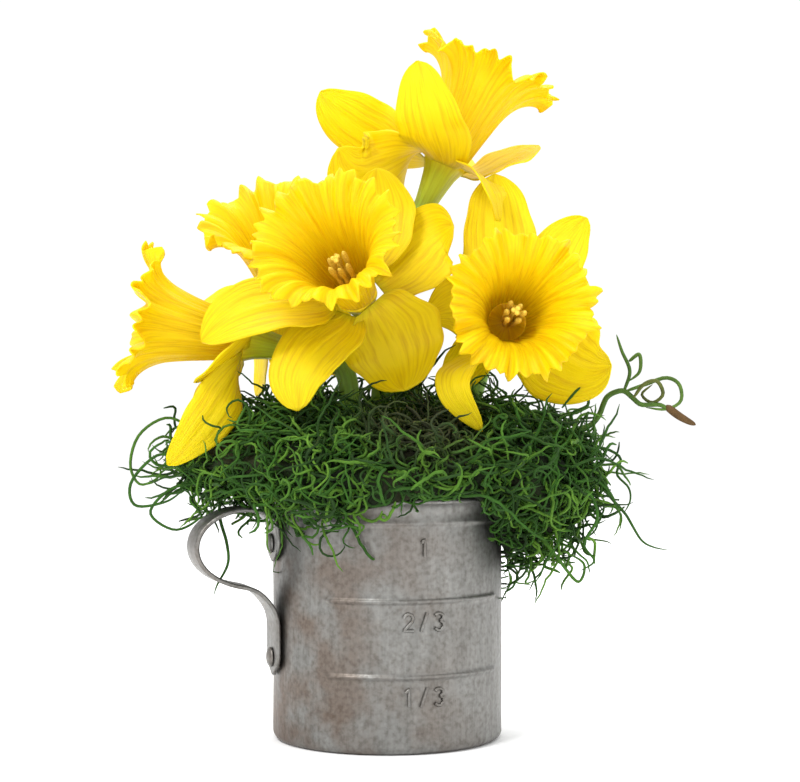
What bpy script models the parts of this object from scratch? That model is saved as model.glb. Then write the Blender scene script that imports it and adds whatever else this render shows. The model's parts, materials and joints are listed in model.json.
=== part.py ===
"""Daffodils in a metal measuring cup.

Five trumpet daffodils stand in floral foam inside a one-cup measuring cup with a
riveted strap handle.  Curly moss hides the foam and spills over the rim.

Frame: origin at the middle of the cup's underside, +Z up, the handle towards -X and
the raised measuring lines towards -Y.  The flowers and the moss are placed in the
bouquet's own frame, which sits at the middle of the cup's mouth and is turned a
little from the cup.
"""
import math

import bmesh
import bpy
from mathutils import Matrix, Vector

MM = 0.001

# ---- driving dimensions -----------------------------------------------------------
GAP = 0.3 * MM                  # clearance between pieces that touch

CUP_RADIUS = 34.75 * MM         # outside of the wall
CUP_HEIGHT = 74.0 * MM
CUP_WALL = 0.7 * MM
CUP_CORNER = 2.5 * MM           # round between the base and the wall
CUP_SIDES = 48
BAND_WIDTH = 8.0 * MM           # plain band under the rim
BAND_STEP = 0.5 * MM            # how far the band stands out from the wall
RIM_BEAD = 0.9 * MM             # radius of the rolled rim
LINE_SPACING = 21.8 * MM        # a third of a cup, measured up the wall
LINE_RADIUS = 0.5 * MM
LINE_HALF_ANGLE = 48.75         # degrees each way from the -Y side

STRAP_WIDTH = 13.0 * MM
STRAP_THICKNESS = 1.3 * MM
STRAP_REACH = 24.6 * MM         # from the wall to the middle of the strap's outermost bend
STRAP_TOP_TAB = 54.0 * MM       # height of the lower end of the upper tab
STRAP_LOW_TAB = 19.5 * MM       # height of the lower end of the lower tab
RIVET_HEIGHTS = {"rivet_upper": 59.5 * MM, "rivet_lower": 25.5 * MM}
RIVET_SHANK = 1.4 * MM
RIVET_HEAD = 3.0 * MM
RIVET_DOME = 1.3 * MM
RIVET_TAIL = 0.7 * MM

FOAM_BELOW_RIM = 10.0 * MM
STEM_RADIUS = 3.2 * MM
STEM_DEPTH = 32.0 * MM          # how far a stem is pushed into the foam

TRUMPET_BASE = 6.0 * MM         # radius where the trumpet meets the petals
TRUMPET_WALL = 0.8 * MM
TRUMPET_SLANT = 38.0 * MM       # length along the trumpet's wall
TRUMPET_START = 12.0            # degrees that the wall opens at the base
TRUMPET_END = 92.0              # degrees that it opens at the lip
TRUMPET_FLARE = 4.0             # the higher, the later the wall turns outwards
TRUMPET_SIDES = 20
TUBE_LENGTH = 16.0 * MM
TUBE_NECK = 3.3 * MM
OVARY_RADIUS = 4.5 * MM
OVARY_LENGTH = 10.0 * MM
STAMEN_HEIGHT = 20.0 * MM
PETAL_THICKNESS = 0.8 * MM
PETAL_CLAW = 0.2                # share of its length that a petal runs straight outward
PETAL_ROOT = 0.24               # share of its full width that a petal has at its root
WHORL_STEP = 1.6 * MM           # every other petal sits this far behind its neighbours
TUBE_SIDES = 12
STAMEN_SIDES = 8
PETAL_GRID = (3, 6)             # faces across and along a petal
STEM_BEND_STEPS = 8

MOSS_MIDDLE = 8.0 * MM          # height of the mound's widest level above the cup's mouth
MOSS_CROWN = 24.0 * MM          # height of its top above the mouth
MOSS_REACH = 44.0 * MM          # how far it spreads from the middle
MOSS_ROOT = 5.0 * MM            # how far its underside reaches below the foam's top, before it is cut
# bumps of the mound's outline, as (direction in degrees, half width in degrees, size)
REACH_BUMPS = ((180, 38, 20.0 * MM), (350, 38, 17.0 * MM), (305, 20, -4.0 * MM))
SKIRT_BUMPS = ((250, 30, -8.0 * MM), (190, 40, 3.0 * MM), (355, 24, -24.0 * MM), (90, 50, -6.0 * MM))
CROWN_DIP = (270, 60, -12.0 * MM)

BOUQUET_TURN = -18.0            # degrees about Z from the cup to the bouquet

# Each bloom, in the bouquet frame, in millimetres from the middle of the cup's mouth:
# where its petals meet, the way its trumpet faces, where its stem enters the foam, and
# how strongly the stem leans into the bloom.  A petal is (middle, tip, width, twist in
# degrees), with its middle and tip measured from where the petals meet.
BLOOMS = {
    "top_bloom": {
        "centre": (18, 12, 102.5), "facing": (0.43, 0.0, 0.90), "foot": (12, 20), "lean": 36,
        "petals": [
            ((16, 8, 0), (30, 14, 6.5), 17, 0),
            ((1, 22, 3), (2, 40, 9), 18, 0),
            ((-21, 5, 10), (-39, 2, 22), 18, 60),
            ((-19, -7, -3), (-33, -16, 2), 20, 50),
            ((-4, -19, 8), (-9, -22, 27.5), 18, 0),
            ((11, -14, -7), (16, -16, -20), 14, 0)]},
    "front_bloom": {
        "centre": (-9.6, -12, 60.6), "facing": (-0.26, -0.865, 0.43), "foot": (-5, 3), "lean": 26,
        "petals": [
            ((17, 5, 12), (29.5, 3, 20), 23, 0),
            ((6, 9, 19), (6.6, 9, 38), 21, 0),
            ((-11.2, 2, 11), (-18, -6, 20), 13, 0),
            ((-23, -5, -4), (-44.9, -10, -15.2), 18, 0),
            ((-11.5, -9.5, -16), (-16.4, -16, -35.4), 19, 0),
            ((11, 1, -14), (15, -7, -29.5), 26, 0)]},
    "back_bloom": {
        "centre": (-31, 27, 59.5), "facing": (-0.2, -0.55, 0.81), "foot": (-15, 17), "lean": 22,
        "petals": [
            ((14, 6, 6), (26, 8, 14), 16, 0),
            ((2, 17, 10), (-4, 32, 22), 18, 0),
            ((-15, 9, 2), (-29, 16, 1), 15, 0),
            ((-9, 3, -13), (-12, 12, -30), 16, 0),
            ((2, -7, -14), (4, -4, -30), 15, 0),
            ((12, 0, -10), (18, 2, -24), 16, 0)]},
    "left_bloom": {
        "centre": (-44, -4, 46.5), "facing": (-0.97, -0.15, 0.2), "foot": (-17, -3), "lean": 26,
        "petals": [
            ((-8, 4, -11), (-16.3, 5, -20), 13, 0),
            ((-3, 15, -3), (-7, 27, -7), 12, 0),
            ((-6, 13, 7), (-19, 16, 9), 10, 0),
            ((4, -1, 12), (11, -1, 21), 12, 0),
            ((-3, -13, -4), (-13, -15, -13), 12, 0),
            ((-5, -14, -18), (-20, -22, -37), 13, 70)]},
    "right_bloom": {
        "centre": (36.3, -2, 52), "facing": (0.08, -0.99, 0.13), "foot": (18, 9), "lean": 26,
        "petals": [
            ((14, 7, 17), (25.5, 12, 32.6), 15, 0),
            ((-2, 5, 24), (-3.3, 10, 46), 19, 0),
            ((-12, 3, 5), (-24, 4, 2), 17, 0),
            ((-10, 7, -10), (-20, 5, -20), 12, 0),
            ((-12, -16, -13), (-8.5, -24, -32.7), 11, 40),
            ((17, -4, -11), (30.5, -12, -13.6), 24, 0)]},
}

# The strap's bend: distance out from its seat and height above the upper tab, as shares
# of the reach and of the spacing between the tabs.
STRAP_BEND = (
    (0, 0.22), (0.02, 0.32), (0.1, 0.4), (0.28, 0.455), (0.53, 0.455), (0.77, 0.39),
    (0.94, 0.28), (1.0, 0.15), (0.96, 0.02), (0.81, -0.1), (0.57, -0.18), (0.37, -0.21),
    (0.22, -0.26), (0.09, -0.36), (0.02, -0.46), (0, -0.57))
STRAP_END_ANGLES = (0.45, 0.8, 1.15, math.pi / 2)       # stations of each half-round end
RIVET_SIDES = 12
RIVET_DOME_ANGLES = (1.05, 0.55, 0.2, 0.0)

# Loose moss strands: radius and route, in the bouquet frame, in millimetres.
MOSS_STRANDS = {
    "moss_sprig": (1.0, [
        (47, -8, 17), (55, -7, 19), (61.2, -6, 20.7), (64.2, -6, 24.4), (66.3, -6, 29.2),
        (71.4, -6, 31), (76.3, -6, 27), (82.3, -6, 26.8), (87.5, -6, 23.6), (92.6, -6, 21)]),
    "moss_strand": (0.8, [
        (44, -12, 2), (52.1, -12, 5.2), (58.2, -12, 5.9), (61.8, -11, 4.7), (67.8, -10, -1.9),
        (71.8, -9, -6.4), (74.8, -8, -11.6), (77.2, -8, -14.6), (80.8, -8, -16.1), (84.7, -8, -17)]),
}

YELLOW = (0.95, 0.78, 0.02)
DEEP_YELLOW = (0.95, 0.66, 0.01)
LEAF_GREEN = (0.32, 0.50, 0.08)
MOSS_GREEN = (0.09, 0.24, 0.04)
FOAM_GREEN = (0.10, 0.22, 0.10)
ALUMINIUM = (0.55, 0.53, 0.50)


# ---- the scene --------------------------------------------------------------------
for old in list(bpy.data.objects):
    bpy.data.objects.remove(old, do_unlink=True)

parts = bpy.data.collections.new("daffodils_in_measuring_cup")
cutters = bpy.data.collections.new("cutters")
bpy.context.scene.collection.children.link(parts)
bpy.context.scene.collection.children.link(cutters)

bouquet = bpy.data.objects.new("bouquet_frame", None)
bouquet.location = (0, 0, CUP_HEIGHT)
bouquet.rotation_euler = (0, 0, math.radians(BOUQUET_TURN))
parts.objects.link(bouquet)


def place(mesh, name, colour=None, roughness=0.5, metallic=0.0, parent=None, cutter=False):
    """Make an object of a mesh, in the parts with its own material or in the cutters."""
    item = bpy.data.objects.new(name, mesh)
    item.parent = parent
    if cutter:
        cutters.objects.link(item)
        item.hide_render = True
        item.display_type = "WIRE"
        return item
    parts.objects.link(item)
    material = bpy.data.materials.new(name)
    material.use_nodes = True
    shader = material.node_tree.nodes["Principled BSDF"]
    shader.inputs["Base Color"].default_value = (*colour, 1)
    shader.inputs["Roughness"].default_value = roughness
    shader.inputs["Metallic"].default_value = metallic
    item.data.materials.append(material)
    return item


def turn(item, sides):
    """Turn an object's profile about its own Z axis."""
    screw = item.modifiers.new("turn", "SCREW")
    screw.steps = sides
    screw.render_steps = sides
    screw.use_merge_vertices = True
    screw.merge_threshold = 0.00005


def profile_mesh(name, points):
    """A chain of edges in the XZ plane, for turning."""
    mesh = bpy.data.meshes.new(name)
    bm = bmesh.new()
    verts = [bm.verts.new((r, 0, z)) for r, z in points]
    for a, b in zip(verts, verts[1:]):
        bm.edges.new((a, b))
    bm.to_mesh(mesh)
    bm.free()
    return mesh


def cut(item, cutter, operation="DIFFERENCE"):
    """Cut one object by another, or join the other to it."""
    boolean = item.modifiers.new(cutter.name, "BOOLEAN")
    boolean.object = cutter
    boolean.operation = operation
    boolean.solver = "EXACT"


def thicken(item, thickness):
    """Give a sheet a thickness, half to each side."""
    solid = item.modifiers.new("thickness", "SOLIDIFY")
    solid.thickness = thickness
    solid.offset = 0.0


def rod_mesh(name, points, radius, sides_each_quarter=2):
    """A rod with closed ends along a chain of points, as a plain mesh."""
    curve = bpy.data.curves.new(name, "CURVE")
    curve.dimensions = "3D"
    spline = curve.splines.new("POLY")
    spline.points.add(len(points) - 1)
    for spot, point in zip(spline.points, points):
        spot.co = (*point, 1)
    curve.bevel_depth = radius
    curve.bevel_resolution = sides_each_quarter
    curve.use_fill_caps = True
    guide = bpy.data.objects.new(name, curve)
    cutters.objects.link(guide)
    bpy.context.view_layer.update()
    mesh = bpy.data.meshes.new_from_object(guide.evaluated_get(bpy.context.evaluated_depsgraph_get()))
    bpy.data.objects.remove(guide)
    bm = bmesh.new()
    bm.from_mesh(mesh)
    bmesh.ops.remove_doubles(bm, verts=bm.verts, dist=0.00001)
    bm.to_mesh(mesh)
    bm.free()
    mesh.name = name
    return mesh


def smooth_route(points, steps):
    """Points on a smooth curve through the given ones, a few for each stretch."""
    chain = [2 * points[0] - points[1], *points, 2 * points[-1] - points[-2]]
    route = []
    for a, b, c, d in zip(chain, chain[1:], chain[2:], chain[3:]):
        for i in range(steps):
            t = i / steps
            route.append(0.5 * ((2 * b) + (c - a) * t + (2 * a - 5 * b + 4 * c - d) * t * t
                                + (3 * b - a - 3 * c + d) * t ** 3))
    return [*route, points[-1]]


def arc(centre, radius, start, end, steps):
    """Points (r, z) on an arc, in degrees from the outward direction."""
    angles = [math.radians(start + (end - start) * i / steps) for i in range(steps + 1)]
    return [(centre[0] + radius * math.cos(a), centre[1] + radius * math.sin(a)) for a in angles]


# ---- the cup ----------------------------------------------------------------------
CUP_BORE = CUP_RADIUS - CUP_WALL
RIM_RADIUS = CUP_BORE + 2 * RIM_BEAD + BAND_STEP        # outside of the rolled rim
BAND_FOOT = CUP_HEIGHT - BAND_WIDTH


def make_cup():
    """The spun cup with its band, rolled rim and two raised part lines."""
    inner_corner = CUP_CORNER - CUP_WALL
    bead_middle = (RIM_RADIUS - RIM_BEAD, CUP_HEIGHT - RIM_BEAD)
    outline = [(0, CUP_WALL)]
    outline += arc((CUP_BORE - inner_corner, CUP_CORNER), inner_corner, -90, 0, 3)
    outline += [(CUP_BORE, BAND_FOOT), (CUP_BORE + BAND_STEP, BAND_FOOT + 2 * BAND_STEP)]
    outline += arc(bead_middle, RIM_BEAD, 160, -100, 7)
    outline += [(CUP_RADIUS + BAND_STEP, BAND_FOOT + 2 * BAND_STEP), (CUP_RADIUS, BAND_FOOT)]
    outline += arc((CUP_RADIUS - CUP_CORNER, CUP_CORNER), CUP_CORNER, 0, -90, 4)
    outline += [(0, 0)]
    cup = place(profile_mesh("cup_shell", outline), "cup_shell", ALUMINIUM, 0.42, 1.0)
    turn(cup, CUP_SIDES)

    step = 360 / CUP_SIDES
    count = round(2 * LINE_HALF_ANGLE / step)
    angles = [math.radians(-90 - LINE_HALF_ANGLE + step * i) for i in range(count + 1)]
    for number in (1, 2):
        height = LINE_SPACING * number + CUP_WALL
        ring = [Vector((CUP_RADIUS * math.cos(a), CUP_RADIUS * math.sin(a), height)) for a in angles]
        line = place(rod_mesh(f"line_{number}", ring, LINE_RADIUS, 1), f"line_{number}", cutter=True)
        cut(cup, line, "UNION")
    return cup


def make_handle(cup):
    """The strap handle, bent in the XZ plane, and its two rivets through the wall."""
    seat = CUP_RADIUS + GAP + STRAP_THICKNESS / 2
    spacing = STRAP_TOP_TAB - STRAP_LOW_TAB
    route = [Vector((-seat - out * STRAP_REACH, 0, STRAP_TOP_TAB + up * spacing))
             for out, up in STRAP_BEND]
    half = STRAP_WIDTH / 2
    top_end = Vector((-seat, 0, STRAP_TOP_TAB))
    low_end = Vector((-seat, 0, STRAP_LOW_TAB))
    line = smooth_route(route, 2)
    # each end of the strap is a half round: its width follows a circle
    ends = [(half * (1 - math.cos(a)), half * math.sin(a)) for a in STRAP_END_ANGLES]
    stations = [(top_end + Vector((0, 0, along)), width) for along, width in ends]
    stations += [(point, half) for point in line]
    stations += [(low_end + Vector((0, 0, along)), width) for along, width in reversed(ends)]
    bm = bmesh.new()
    rows = [[bm.verts.new(point + Vector((0, side * width, 0))) for side in (-1, 1)]
            for point, width in stations]
    for low, high in zip(rows, rows[1:]):
        bm.faces.new((low[0], low[1], high[1], high[0]))
    mesh = bpy.data.meshes.new("cup_handle")
    bm.to_mesh(mesh)
    bm.free()
    handle = place(mesh, "cup_handle", ALUMINIUM, 0.45, 1.0)
    thicken(handle, STRAP_THICKNESS)

    out = Matrix.Rotation(-math.pi / 2, 3, "Y").to_euler()
    inside = CUP_BORE - GAP
    outside = CUP_RADIUS + STRAP_THICKNESS + 2 * GAP
    for name, height in RIVET_HEIGHTS.items():
        bore = RIVET_SHANK + GAP
        mesh = bpy.data.meshes.new(f"{name}_hole")
        bm = bmesh.new()
        bmesh.ops.create_cone(bm, cap_ends=True, segments=RIVET_SIDES, radius1=bore, radius2=bore,
                              depth=12 * RIVET_SHANK)
        bm.to_mesh(mesh)
        bm.free()
        hole = place(mesh, f"{name}_hole", cutter=True)
        hole.location = (-CUP_RADIUS, 0, height)
        hole.rotation_euler = out
        cut(cup, hole)
        cut(handle, hole)

        dome = [(0, outside + RIVET_DOME)]
        dome += [(RIVET_HEAD * math.cos(a), outside + RIVET_DOME * math.sin(a)) for a in RIVET_DOME_ANGLES]
        tail = [(RIVET_SHANK, outside), (RIVET_SHANK, inside), (2 * RIVET_SHANK, inside),
                (2 * RIVET_SHANK, inside - RIVET_TAIL), (0, inside - RIVET_TAIL)]
        rivet = place(profile_mesh(name, dome + tail), name, ALUMINIUM, 0.35, 1.0)
        rivet.location = (0, 0, height)
        rivet.rotation_euler = out
        turn(rivet, RIVET_SIDES)
    return handle


# ---- the blooms -------------------------------------------------------------------
def upright_to(direction):
    """The rotation that takes +Z to a direction."""
    return direction.to_track_quat("Z", "Y").to_euler()


def trumpet_outline():
    """The trumpet's wall from its lip down to its base, as (r, z)."""
    steps = 200
    keep = {round(steps * share) for share in (0.0, 0.32, 0.6, 0.8, 0.92, 1.0)}
    radius = TRUMPET_BASE
    height = 0.0
    points = [(radius, height)]
    for i in range(1, steps + 1):
        share = (i - 0.5) / steps
        opening = math.radians(TRUMPET_START + (TRUMPET_END - TRUMPET_START) * share ** TRUMPET_FLARE)
        radius += TRUMPET_SLANT / steps * math.sin(opening)
        height += TRUMPET_SLANT / steps * math.cos(opening)
        if i in keep:
            points.append((radius, height))
    return list(reversed(points))


TUBE_FRONT = TRUMPET_BASE + TRUMPET_WALL / 2
ROOT_RADIUS = TUBE_FRONT + 2 * GAP
TUBE_BACK = GAP + TUBE_LENGTH + OVARY_LENGTH


def tube_outline():
    """The floral tube with the seed case behind it, from front to back, as (r, z)."""
    shoulder = -GAP - TUBE_LENGTH
    return [(0, -GAP), (TUBE_FRONT, -GAP), (TUBE_FRONT, -GAP - 1.2 * MM),
            (TUBE_FRONT * 0.78, -GAP - TUBE_LENGTH * 0.3), (TUBE_NECK * 1.1, -GAP - TUBE_LENGTH * 0.75),
            (TUBE_NECK, shoulder), (OVARY_RADIUS, shoulder - OVARY_LENGTH * 0.35),
            (OVARY_RADIUS * 0.96, shoulder - OVARY_LENGTH * 0.65), (STEM_RADIUS * 1.05, -TUBE_BACK),
            (0, -TUBE_BACK)]


def stamen_outline():
    """The style and the six stamens round it, drawn as one turned cluster, as (r, z)."""
    tall = STAMEN_HEIGHT
    return [(0, tall), (1.3 * MM, tall * 0.98), (0.8 * MM, tall * 0.9), (2.8 * MM, tall * 0.82),
            (3.0 * MM, tall * 0.6), (1.8 * MM, tall * 0.5), (2.4 * MM, 0), (0, 0)]


def petal_mesh(name, facing, outward, root, middle, tip, width, twist):
    """A leaf-shaped sheet that leaves its root outward and passes its middle to its tip."""
    first = root + outward * (tip - root).length * PETAL_CLAW
    second = (8 * middle - root - 3 * first - tip) / 3
    across = facing.cross(tip - root).normalized()
    bm = bmesh.new()
    bmesh.ops.create_grid(bm, x_segments=PETAL_GRID[0], y_segments=PETAL_GRID[1], size=1.0)
    for vert in bm.verts:
        u = (vert.co.y + 1) / 2
        v = vert.co.x
        w = 1 - u
        spot = w ** 3 * root + 3 * w * w * u * first + 3 * w * u * u * second + u ** 3 * tip
        along = (w * w * (first - root) + 2 * w * u * (second - first) + u * u * (tip - second)).normalized()
        side = (across - across.dot(along) * along).normalized()
        side = Matrix.Rotation(math.radians(twist * min(2 * u, 1)), 3, along) @ side
        rise = PETAL_ROOT + (1 - PETAL_ROOT) * math.sin(math.pi / 2 * min(u / 0.45, 1))
        fall = (1 - max(0, (u - 0.45) / 0.55) ** 2.4) ** 0.8
        half = width / 2 * max(rise * fall, 0.06)
        normal = side.cross(along)
        if normal.dot(facing) < 0:
            normal = -normal
        vert.co = spot + v * half * side + 0.1 * half * v * v * normal
    mesh = bpy.data.meshes.new(name)
    bm.to_mesh(mesh)
    bm.free()
    return mesh


def stem_route(foot, neck, facing, lean):
    """A stem straight up out of the foam that bends over into the back of its bloom."""
    top = Vector((foot.x, foot.y, -FOAM_BELOW_RIM))
    bend_end = neck - facing * STEM_RADIUS
    rise = Vector((0, 0, 1)) * (neck - top).length * 0.9
    reach = facing * lean
    route = [top - Vector((0, 0, STEM_DEPTH)), top - Vector((0, 0, STEM_DEPTH * 0.3))]
    for i in range(STEM_BEND_STEPS + 1):
        t = i / STEM_BEND_STEPS
        a = 2 * t ** 3 - 3 * t ** 2 + 1
        b = t ** 3 - 2 * t ** 2 + t
        c = -2 * t ** 3 + 3 * t ** 2
        d = t ** 3 - t ** 2
        route.append(a * top + b * rise + c * bend_end + d * reach)
    return [*route, neck]


def make_bloom(name, plan):
    """One daffodil.  Gives back its stem's route."""
    centre = Vector(plan["centre"]) * MM
    facing = Vector(plan["facing"]).normalized()
    pose = upright_to(facing)

    trumpet = place(profile_mesh(f"{name}_trumpet", trumpet_outline()), f"{name}_trumpet",
                    DEEP_YELLOW, 0.5, parent=bouquet)
    turn(trumpet, TRUMPET_SIDES)
    thicken(trumpet, TRUMPET_WALL)
    tube = place(profile_mesh(f"{name}_tube", tube_outline()), f"{name}_tube",
                 LEAF_GREEN, 0.5, parent=bouquet)
    turn(tube, TUBE_SIDES)
    stamens = place(profile_mesh(f"{name}_stamens", stamen_outline()), f"{name}_stamens",
                    DEEP_YELLOW, 0.6, parent=bouquet)
    turn(stamens, STAMEN_SIDES)
    for item in (trumpet, tube, stamens):
        item.location = centre
        item.rotation_euler = pose

    side = pose.to_matrix() @ Vector((1, 0, 0))
    up = facing.cross(side)
    tips = [Vector(petal[1]) for petal in plan["petals"]]
    headings = [math.atan2(tip.dot(up), tip.dot(side)) for tip in tips]
    # the roots are spread evenly, in the order of the tips, and their ring is turned to suit
    ranks = [sorted(headings).index(heading) for heading in headings]
    errors = [heading - rank * math.pi / 3 for heading, rank in zip(headings, ranks)]
    phase = math.atan2(sum(math.sin(e) for e in errors), sum(math.cos(e) for e in errors))
    for i, (middle, tip, width, twist) in enumerate(plan["petals"]):
        heading = phase + ranks[i] * math.pi / 3
        setback = facing * (WHORL_STEP * (ranks[i] % 2) + PETAL_THICKNESS / 2)
        outward = math.cos(heading) * side + math.sin(heading) * up
        root = ROOT_RADIUS * outward - setback
        label = f"{name}_petal_{i + 1}"
        mesh = petal_mesh(label, facing, outward, root, Vector(middle) * MM - setback, Vector(tip) * MM,
                          width * MM, twist)
        petal = place(mesh, label, YELLOW, 0.5, parent=bouquet)
        petal.location = centre
        thicken(petal, PETAL_THICKNESS)

    neck = centre - facing * (TUBE_BACK + GAP)
    foot = Vector((*plan["foot"], 0)) * MM
    return stem_route(foot, neck, facing, plan["lean"] * MM)


# ---- the moss and the foam --------------------------------------------------------
def bump(angle, centre, width, size):
    """A smooth bump round a direction, with its angles in degrees."""
    away = (angle - centre + 180) % 360 - 180
    return size * math.exp(-(away / width) ** 2)


def make_moss():
    """The moss as one soft mound that fills the cup's mouth and hangs over its rim."""
    bm = bmesh.new()
    bmesh.ops.create_uvsphere(bm, u_segments=24, v_segments=12, radius=1.0)
    for vert in bm.verts:
        heading = math.degrees(math.atan2(vert.co.y, vert.co.x)) % 360
        level = math.asin(max(-1, min(1, vert.co.z)))
        level_cos = math.cos(level)
        reach = MOSS_REACH + sum(bump(heading, *shape) for shape in REACH_BUMPS)
        radius = reach * level_cos ** 0.4
        if vert.co.z > 0:
            end = MOSS_CROWN + bump(heading, *CROWN_DIP) * level_cos ** 0.5
        elif radius < CUP_BORE * 0.9:
            end = -FOAM_BELOW_RIM - MOSS_ROOT
        else:
            end = sum(bump(heading, *shape) for shape in SKIRT_BUMPS)
        height = MOSS_MIDDLE + (end - MOSS_MIDDLE) * abs(math.sin(level))
        vert.co = (radius * math.cos(math.radians(heading)), radius * math.sin(math.radians(heading)), height)
    mesh = bpy.data.meshes.new("moss_mound")
    bm.to_mesh(mesh)
    bm.free()
    moss = place(mesh, "moss_mound", MOSS_GREEN, 0.9, parent=bouquet)

    room = [(0, -FOAM_BELOW_RIM + GAP), (CUP_BORE - GAP, -FOAM_BELOW_RIM + GAP),
            (CUP_BORE - GAP, GAP), (RIM_RADIUS + GAP, GAP), (RIM_RADIUS + GAP, -CUP_HEIGHT),
            (0, -CUP_HEIGHT)]
    room_cutter = place(profile_mesh("cup_room", room), "cup_room", parent=bouquet, cutter=True)
    turn(room_cutter, CUP_SIDES)
    cut(moss, room_cutter)
    return moss


def make_foam():
    """The block of floral foam that holds the stems, clear of the wall and the rivets' tails."""
    radius = CUP_BORE - 2 * GAP - RIVET_TAIL
    floor = CUP_CORNER
    depth = CUP_HEIGHT - FOAM_BELOW_RIM - floor
    mesh = bpy.data.meshes.new("foam_block")
    bm = bmesh.new()
    bmesh.ops.create_cone(bm, cap_ends=True, segments=32, radius1=radius, radius2=radius, depth=depth)
    bm.to_mesh(mesh)
    bm.free()
    foam = place(mesh, "foam_block", FOAM_GREEN, 0.95)
    foam.location = (0, 0, floor + depth / 2)
    return foam


cup_shell = make_cup()
cup_handle = make_handle(cup_shell)
foam_block = make_foam()
moss_mound = make_moss()

for bloom_name, bloom_plan in BLOOMS.items():
    stem = make_bloom(bloom_name, bloom_plan)
    place(rod_mesh(f"{bloom_name}_stem", stem, STEM_RADIUS), f"{bloom_name}_stem",
          LEAF_GREEN, 0.5, parent=bouquet)
    hole_route = [stem[0] - Vector((0, 0, GAP)), *stem[1:]]
    stem_hole = place(rod_mesh(f"{bloom_name}_hole", hole_route, STEM_RADIUS + GAP),
                      f"{bloom_name}_hole", parent=bouquet, cutter=True)
    cut(foam_block, stem_hole)
    cut(moss_mound, stem_hole)

for strand_name, (strand_radius, strand_points) in MOSS_STRANDS.items():
    strand_route = smooth_route([Vector(p) * MM for p in strand_points], 2)
    place(rod_mesh(strand_name, strand_route, strand_radius * MM), strand_name,
          MOSS_GREEN, 0.9, parent=bouquet)
    inward = (strand_route[0] - strand_route[1]).normalized() * GAP
    strand_hole = place(rod_mesh(f"{strand_name}_hole", [strand_route[0] + inward, *strand_route[1:]],
                                 strand_radius * MM + GAP), f"{strand_name}_hole",
                        parent=bouquet, cutter=True)
    cut(moss_mound, strand_hole)

for item in parts.objects:
    if item.type == "MESH":
        item.data.shade_smooth()
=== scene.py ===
import json
import math
import random
from contextlib import contextmanager

import bmesh
import bpy
from mathutils import Matrix, Vector
from mathutils.bvhtree import BVHTree

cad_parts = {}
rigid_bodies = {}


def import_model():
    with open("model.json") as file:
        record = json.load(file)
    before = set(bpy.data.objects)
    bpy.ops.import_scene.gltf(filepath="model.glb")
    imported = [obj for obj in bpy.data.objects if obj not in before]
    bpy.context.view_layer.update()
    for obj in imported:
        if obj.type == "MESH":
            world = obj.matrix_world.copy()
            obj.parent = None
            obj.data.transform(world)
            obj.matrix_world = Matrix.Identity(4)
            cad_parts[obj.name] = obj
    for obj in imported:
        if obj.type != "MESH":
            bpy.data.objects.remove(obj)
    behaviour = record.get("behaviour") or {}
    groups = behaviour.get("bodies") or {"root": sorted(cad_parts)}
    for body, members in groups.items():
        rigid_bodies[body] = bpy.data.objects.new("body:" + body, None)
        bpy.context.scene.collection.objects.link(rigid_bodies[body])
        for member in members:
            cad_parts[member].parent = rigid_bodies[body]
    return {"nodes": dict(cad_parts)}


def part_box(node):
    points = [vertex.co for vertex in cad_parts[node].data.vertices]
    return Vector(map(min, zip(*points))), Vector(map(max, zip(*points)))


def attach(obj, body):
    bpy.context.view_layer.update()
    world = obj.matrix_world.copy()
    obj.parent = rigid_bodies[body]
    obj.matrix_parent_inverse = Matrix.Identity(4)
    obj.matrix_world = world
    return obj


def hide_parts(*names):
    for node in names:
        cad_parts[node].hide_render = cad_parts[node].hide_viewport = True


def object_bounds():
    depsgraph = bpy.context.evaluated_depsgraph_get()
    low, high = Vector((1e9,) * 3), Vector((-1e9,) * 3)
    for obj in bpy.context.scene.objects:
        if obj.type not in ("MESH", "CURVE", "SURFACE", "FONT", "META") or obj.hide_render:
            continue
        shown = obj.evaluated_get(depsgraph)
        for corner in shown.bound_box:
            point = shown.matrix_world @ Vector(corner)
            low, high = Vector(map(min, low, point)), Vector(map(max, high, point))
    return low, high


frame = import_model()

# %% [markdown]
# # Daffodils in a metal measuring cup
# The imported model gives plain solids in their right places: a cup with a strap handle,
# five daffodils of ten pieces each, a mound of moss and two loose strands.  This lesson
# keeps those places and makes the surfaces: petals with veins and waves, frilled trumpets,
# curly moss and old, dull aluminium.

CAD_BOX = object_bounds()
MM = 0.001
BOUQUET_TURN = math.radians(-18)       # the flowers face a little left of the cup's lines
BLOOMS = ("top_bloom", "front_bloom", "back_bloom", "left_bloom", "right_bloom")
TURN = Matrix.Rotation(BOUQUET_TURN, 3, "Z")

cup_low, cup_high = (Vector(corner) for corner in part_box("cup_shell"))
RIM_TOP = cup_high.z
RIM_RADIUS = (cup_high.x - cup_low.x) / 2
print("cup", [round(v * 1000, 1) for v in cup_high - cup_low], "mm")


def from_bouquet(x, y, z):
    """A point given in millimetres in the bouquet's frame, which sits at the cup's mouth."""
    return TURN @ Vector((x * MM, y * MM, z * MM)) + Vector((0, 0, RIM_TOP))


def smooth_chain(points, count):
    """Evenly numbered points on a smooth curve through the given ones."""
    chain = [2 * points[0] - points[1], *points, 2 * points[-1] - points[-2]]
    out = []
    for i in range(count):
        place = i / (count - 1) * (len(points) - 1)
        k = min(int(place), len(points) - 2)
        t = place - k
        a, b, c, d = chain[k:k + 4]
        out.append(0.5 * (2 * b + (c - a) * t + (2 * a - 5 * b + 4 * c - d) * t * t
                          + (3 * b - a - 3 * c + d) * t ** 3))
    return out


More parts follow.
